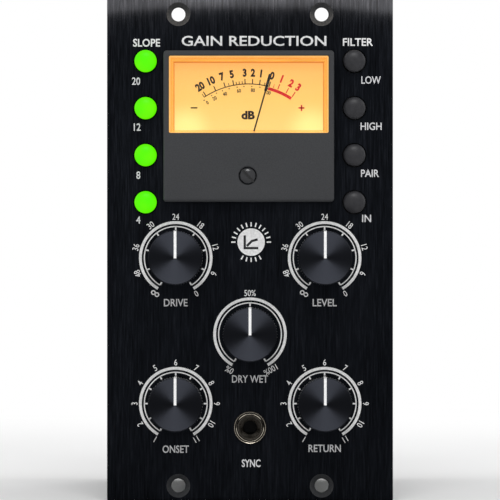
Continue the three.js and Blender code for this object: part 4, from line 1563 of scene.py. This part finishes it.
def addResistor(face, side, y, z, band):
    radius, waist, lead = resistor["radius"], resistor["radius"] * resistor["waist"], resistor["lead"]
    half = resistor["length"] / 2
    x = face + side * resistor["lift"]
    keepPiece("ceramic", turnPiece((x, y, 0), [
        (radius * 0.6, z - half),
        (radius, z - half + 0.5 * mm),
        (radius, z - half + 1.3 * mm),
        (waist, z - half + 1.6 * mm),
        (waist, z + half - 1.6 * mm),
        (radius, z + half - 1.3 * mm),
        (radius, z + half - 0.5 * mm),
        (radius * 0.6, z + half),
    ], 14, "Z"))
    for i, finish in enumerate(band):
        place = z - 1.1 * mm + i * 0.95 * mm
        ring = radius * 0.86
        keepPiece(finish, turnPiece((x, y, 0), [(ring, place), (ring, place + 0.45 * mm)], 14, "Z"))
    low, high = rise(face, side, 0, resistor["lift"])
    for end in (-1, 1):
        leadZ = z + end * (half + 1.2 * mm)
        keepPiece("tinned", addBlock(
            (low, y - lead, leadZ - lead),
            (high + lead, y + lead, leadZ + lead),
        ))
        inner, outer = sorted((z + end * (half - 0.2 * mm), leadZ))
        keepPiece("tinned", addBlock((x - lead, y - lead, inner), (x + lead, y + lead, outer)))
        addSolder(face, side, y, leadZ)


def makeElectrolytic(face, side, y, z, radius, height):
    # a crimped can in its sleeve, with a scored bare top; returns the sleeve and the top
    def place(share):
        return face + side * share
    sleeve = turnPiece((0, y, z), [
        (radius * 0.94, place(0.1 * mm)),
        (radius, place(0.5 * mm)),
        (radius, place(1.6 * mm)),
        (radius * 0.93, place(2.0 * mm)),
        (radius, place(2.5 * mm)),
        (radius, place(height - 0.5 * mm)),
        (radius * 0.93, place(height - 0.05 * mm)),
        (radius * 0.82, place(height - 0.05 * mm)),
    ], 32, "X")
    top = turnPiece((0, y, z), [
        (radius * 0.86, place(height - 0.8 * mm)),
        (radius * 0.86, place(height)),
        (radius * 0.8, place(height + 0.05 * mm)),
    ], 32, "X")
    low, high = rise(face, side, height - 0.15 * mm, height + mm)
    for turn in (45, -45):
        score = addBlock((low, y - 0.12 * mm, z - radius * 0.6), (high, y + 0.12 * mm, z + radius * 0.6))
        score.data.transform(turnAbout((0, y, z), turn, "X"))
        cutAway(top, score)
    return sleeve, top


def addElectrolytic(face, side, y, z, radius, height):
    sleeve, top = makeElectrolytic(face, side, y, z, radius, height)
    keepPiece("canSleeve", sleeve)
    keepPiece("can", top)


trimmer = {
    "size": 9.5 * mm,
    "top": 5.0 * mm,
    "screwPlace": (-2.2 * mm, 2.4 * mm),
    "screwRadius": 1.15 * mm,
    "slot": 0.4 * mm,
}


def addTrimmer(face, side, y, z):
    low, high = rise(face, side, 0.2 * mm, trimmer["top"])
    half = trimmer["size"] / 2
    body = addBlock((low, y - half, z - half), (high, y + half, z + half))
    bevelEdges(body, 0.35 * mm, 2)
    keepPiece("blueLacquer", body)
    screwY, screwZ = y + trimmer["screwPlace"][0], z + trimmer["screwPlace"][1]
    radius, slot = trimmer["screwRadius"], trimmer["slot"] / 2
    screw = turnPiece((0, screwY, screwZ), [
        (radius, face + side * 4.4 * mm),
        (radius, face + side * 5.6 * mm),
        (radius - 0.2 * mm, face + side * 5.8 * mm),
    ], 24, "X")
    low, high = rise(face, side, 5.3 * mm, 7 * mm)
    cutAway(screw, addBlock((low, screwY - 2 * mm, screwZ - slot), (high, screwY + 2 * mm, screwZ + slot)))
    keepPiece("gold", screw)


relay = {"width": 10 * mm, "length": 14.6 * mm, "top": 9.0 * mm, "stripe": (4.6 * mm, 5.4 * mm)}


def addRelay(face, side, y, z):
    low, high = rise(face, side, 0.3 * mm, relay["top"])
    wide, long = relay["width"] / 2, relay["length"] / 2
    body = addBlock((low, y - wide, z - long), (high, y + wide, z + long))
    bevelEdges(body, 0.6 * mm, 3)
    keepPiece("relay", body)
    low, high = rise(face, side, relay["top"] - 0.1 * mm, relay["top"] + 0.06 * mm)
    first, last = relay["stripe"]
    keepPiece("epoxy", addBlock((low, y - 3.9 * mm, z + first), (high, y + 3.9 * mm, z + last)))


layout = {
    "mainChips": [(y, z) for y in (42, 59, 76, 93) for z in (7, -8)],
    "mainResistorRows": (38, 5.6, 11, 19.5, -21.5),  # first Y, step, count and the two rows' Z
    "mainCapacitors": [(35, 33, 4, 12), (46, 33, 4, 12), (57, 34, 5, 13), (34, -34, 4, 12), (44, -34, 4, 12)],
    "trimmers": [(111, 3), (111, -9), (124, 3)],
    "sideChips": [(y, z) for y in (30, 46, 62) for z in (22, -8)],
    "sideResistorRows": (26, 5.8, 9, 8, -24),
    "sideCapacitors": [(52, 36, 3.2, 10), (76, 30, 3.2, 10), (90, 32, 3.2, 10)],
    "relays": [(58, -40), (74, -40)],
    "bands": [("bandBrown", "bandRed"), ("bandRed", "bandBrown"), ("bandBrown", "epoxy")],
}


def fillBoard(face, side, chips, rows, capacitors):
    for y, z in chips:
        addChip(face, side, y * mm, z * mm)
    first, step, count, upper, lower = rows
    for i in range(count):
        for z in (upper, lower):
            addResistor(face, side, (first + step * i) * mm, z * mm, random.choice(layout["bands"]))
    for y, z, radius, height in capacitors:
        addElectrolytic(face, side, y * mm, z * mm, radius * mm, height * mm)


def makeBoardParts():
    random.seed(7)
    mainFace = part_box("main_board")[1].x
    fillBoard(mainFace, 1, layout["mainChips"], layout["mainResistorRows"], layout["mainCapacitors"])
    for y, z in layout["trimmers"]:
        addTrimmer(mainFace, 1, y * mm, z * mm)
    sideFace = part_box("sidechain_board")[0].x
    fillBoard(sideFace, -1, layout["sideChips"], layout["sideResistorRows"], layout["sideCapacitors"])
    for y, z in layout["relays"]:
        addRelay(sideFace, -1, y * mm, z * mm)
    for finish, pieces in boardPieces.items():
        name = f"board_parts_{finish}"
        finishPiece(joinPieces(pieces), name, materials[finish], smoothAngle=35)


can = {"corner": 2.6 * mm, "edge": 1.0 * mm, "lip": 0.5 * mm, "lipDepth": 1.4 * mm, "grommet": 2.0 * mm}


def roundCorners(piece, width, segments):
    # only the long edges, which run along X
    pick(piece)
    bpy.ops.object.mode_set(mode="EDIT")
    bpy.ops.mesh.select_mode(type="EDGE")
    bpy.ops.mesh.select_all(action="DESELECT")
    bpy.ops.object.mode_set(mode="OBJECT")
    for edge in piece.data.edges:
        a, b = (piece.data.vertices[i].co for i in edge.vertices)
        edge.select = abs(a.x - b.x) > mm
    bpy.ops.object.mode_set(mode="EDIT")
    bpy.ops.mesh.bevel(offset=width, segments=segments)
    bpy.ops.object.mode_set(mode="OBJECT")


def makeCan(name):
    low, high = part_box(name)
    lip = can["lip"]
    body = addBlock((low.x + 0.5 * mm, low.y + lip, low.z + lip), (high.x, high.y - lip, high.z - lip))
    roundCorners(body, can["corner"], 6)
    bevelEdges(body, can["edge"], 3, 60)
    rim = addBlock((low.x, low.y, low.z), (low.x + can["lipDepth"], high.y, high.z))
    bevelEdges(rim, 0.3 * mm, 2)
    centre = (low + high) / 2
    dimple = turnPiece((0, centre.y, centre.z), [
        (can["grommet"], high.x - 0.35 * mm),
        (can["grommet"] + 0.4 * mm, high.x + mm),
    ], 32, "X")
    cutAway(body, dimple)
    whole = joinPieces([body, rim])
    finishPiece(whole, f"{name}_can", materials["can"], smoothAngle=35)
    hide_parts(name)


def makeReservoir(name):
    low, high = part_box(name)
    centre = (low + high) / 2
    radius, height = (high.y - low.y) / 2, high.x - low.x - 0.06 * mm
    sleeve, top = makeElectrolytic(low.x, 1, centre.y, centre.z, radius, height)
    finishPiece(sleeve, f"{name}_sleeve", materials["sleeve"], smoothAngle=30)
    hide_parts(name)
    finishPiece(top, f"{name}_top", materials["tinned"], smoothAngle=30)


def makeFilmCapacitor():
    low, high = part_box("film_capacitor")
    body = addBlock(low, high)
    bevelEdges(body, 0.8 * mm, 3)
    finishPiece(body, "film_capacitor_box", materials["film"], smoothAngle=30)
    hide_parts("film_capacitor")


regulator = {
    "width": 10 * mm,
    "tab": (3.0 * mm, 11.0 * mm, 0.05 * mm, 1.35 * mm),  # from and to above the board, then off the fins
    "body": (2.5 * mm, 9.0 * mm, 0.7 * mm, 4.5 * mm),
    "leg": (0.0, 3.0 * mm, 2.2 * mm, 2.8 * mm),
    "legWidth": 0.8 * mm,
}


def makeRegulators():
    # one on each side of the heat sink
    low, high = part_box("regulator_heat_sink")
    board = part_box("sidechain_board")[0].x
    middle = (low.z + high.z) / 2

    def addPart(face, away, z, width, sizes):
        first, last, near, far = sizes
        front, rear = sorted((face + away * near, face + away * far))
        return addBlock((board - last, front, z - width / 2), (board - first, rear, z + width / 2))

    bodies, tabs = [], []
    for face, away in ((low.y, -1), (high.y, 1)):
        tabs.append(addPart(face, away, middle, regulator["width"], regulator["tab"]))
        body = addPart(face, away, middle, regulator["width"], regulator["body"])
        bevelEdges(body, 0.3 * mm, 1)
        bodies.append(body)
        for i in (-1, 0, 1):
            z = middle + i * boards["pinPitch"]
            tabs.append(addPart(face, away, z, regulator["legWidth"], regulator["leg"]))
    packages, metal = joinPieces(bodies), joinPieces(tabs)
    finishPiece(packages, "regulator_bodies", materials["epoxy"], smoothAngle=30)
    finishPiece(metal, "regulator_tabs", materials["tinned"], smoothAngle=30)


makeScrews()
makeFlangeNuts()
makeFingers()
makeBoardParts()
for name in ("output_transformer", "input_transformer"):
    makeCan(name)
for name in ("reservoir_capacitor_1", "reservoir_capacitor_2"):
    makeReservoir(name)
makeFilmCapacitor()
makeRegulators()
print("inside made")


finishes = {
    "powder": ["left_side_plate", "right_side_plate", "rear_plate"],
    "faceBoard": ["control_board", "left_switch_board", "right_switch_board"],
    "sideBoard": ["main_board", "sidechain_board"],
    "black": ["main_header", "sidechain_header", "meter_case"],
    "epoxy": [name.replace("button", "switch") for name in buttons],
    "clear": ["meter_window"],
    "card": ["meter_dial"],
    "zinc": ["meter_movement", "meter_bracket"],
    "tinned": [f"{name}_pot" for name in controls],
    "nickel": [f"{name}_pot_shaft" for name in controls],
    "amber": ["meter_lamp_left", "meter_lamp_right"],
    "heatSink": ["regulator_heat_sink"],
}
for finish, nodes in finishes.items():
    for node in nodes:
        setMaterial(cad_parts[node], materials[finish])
print("finishes set")
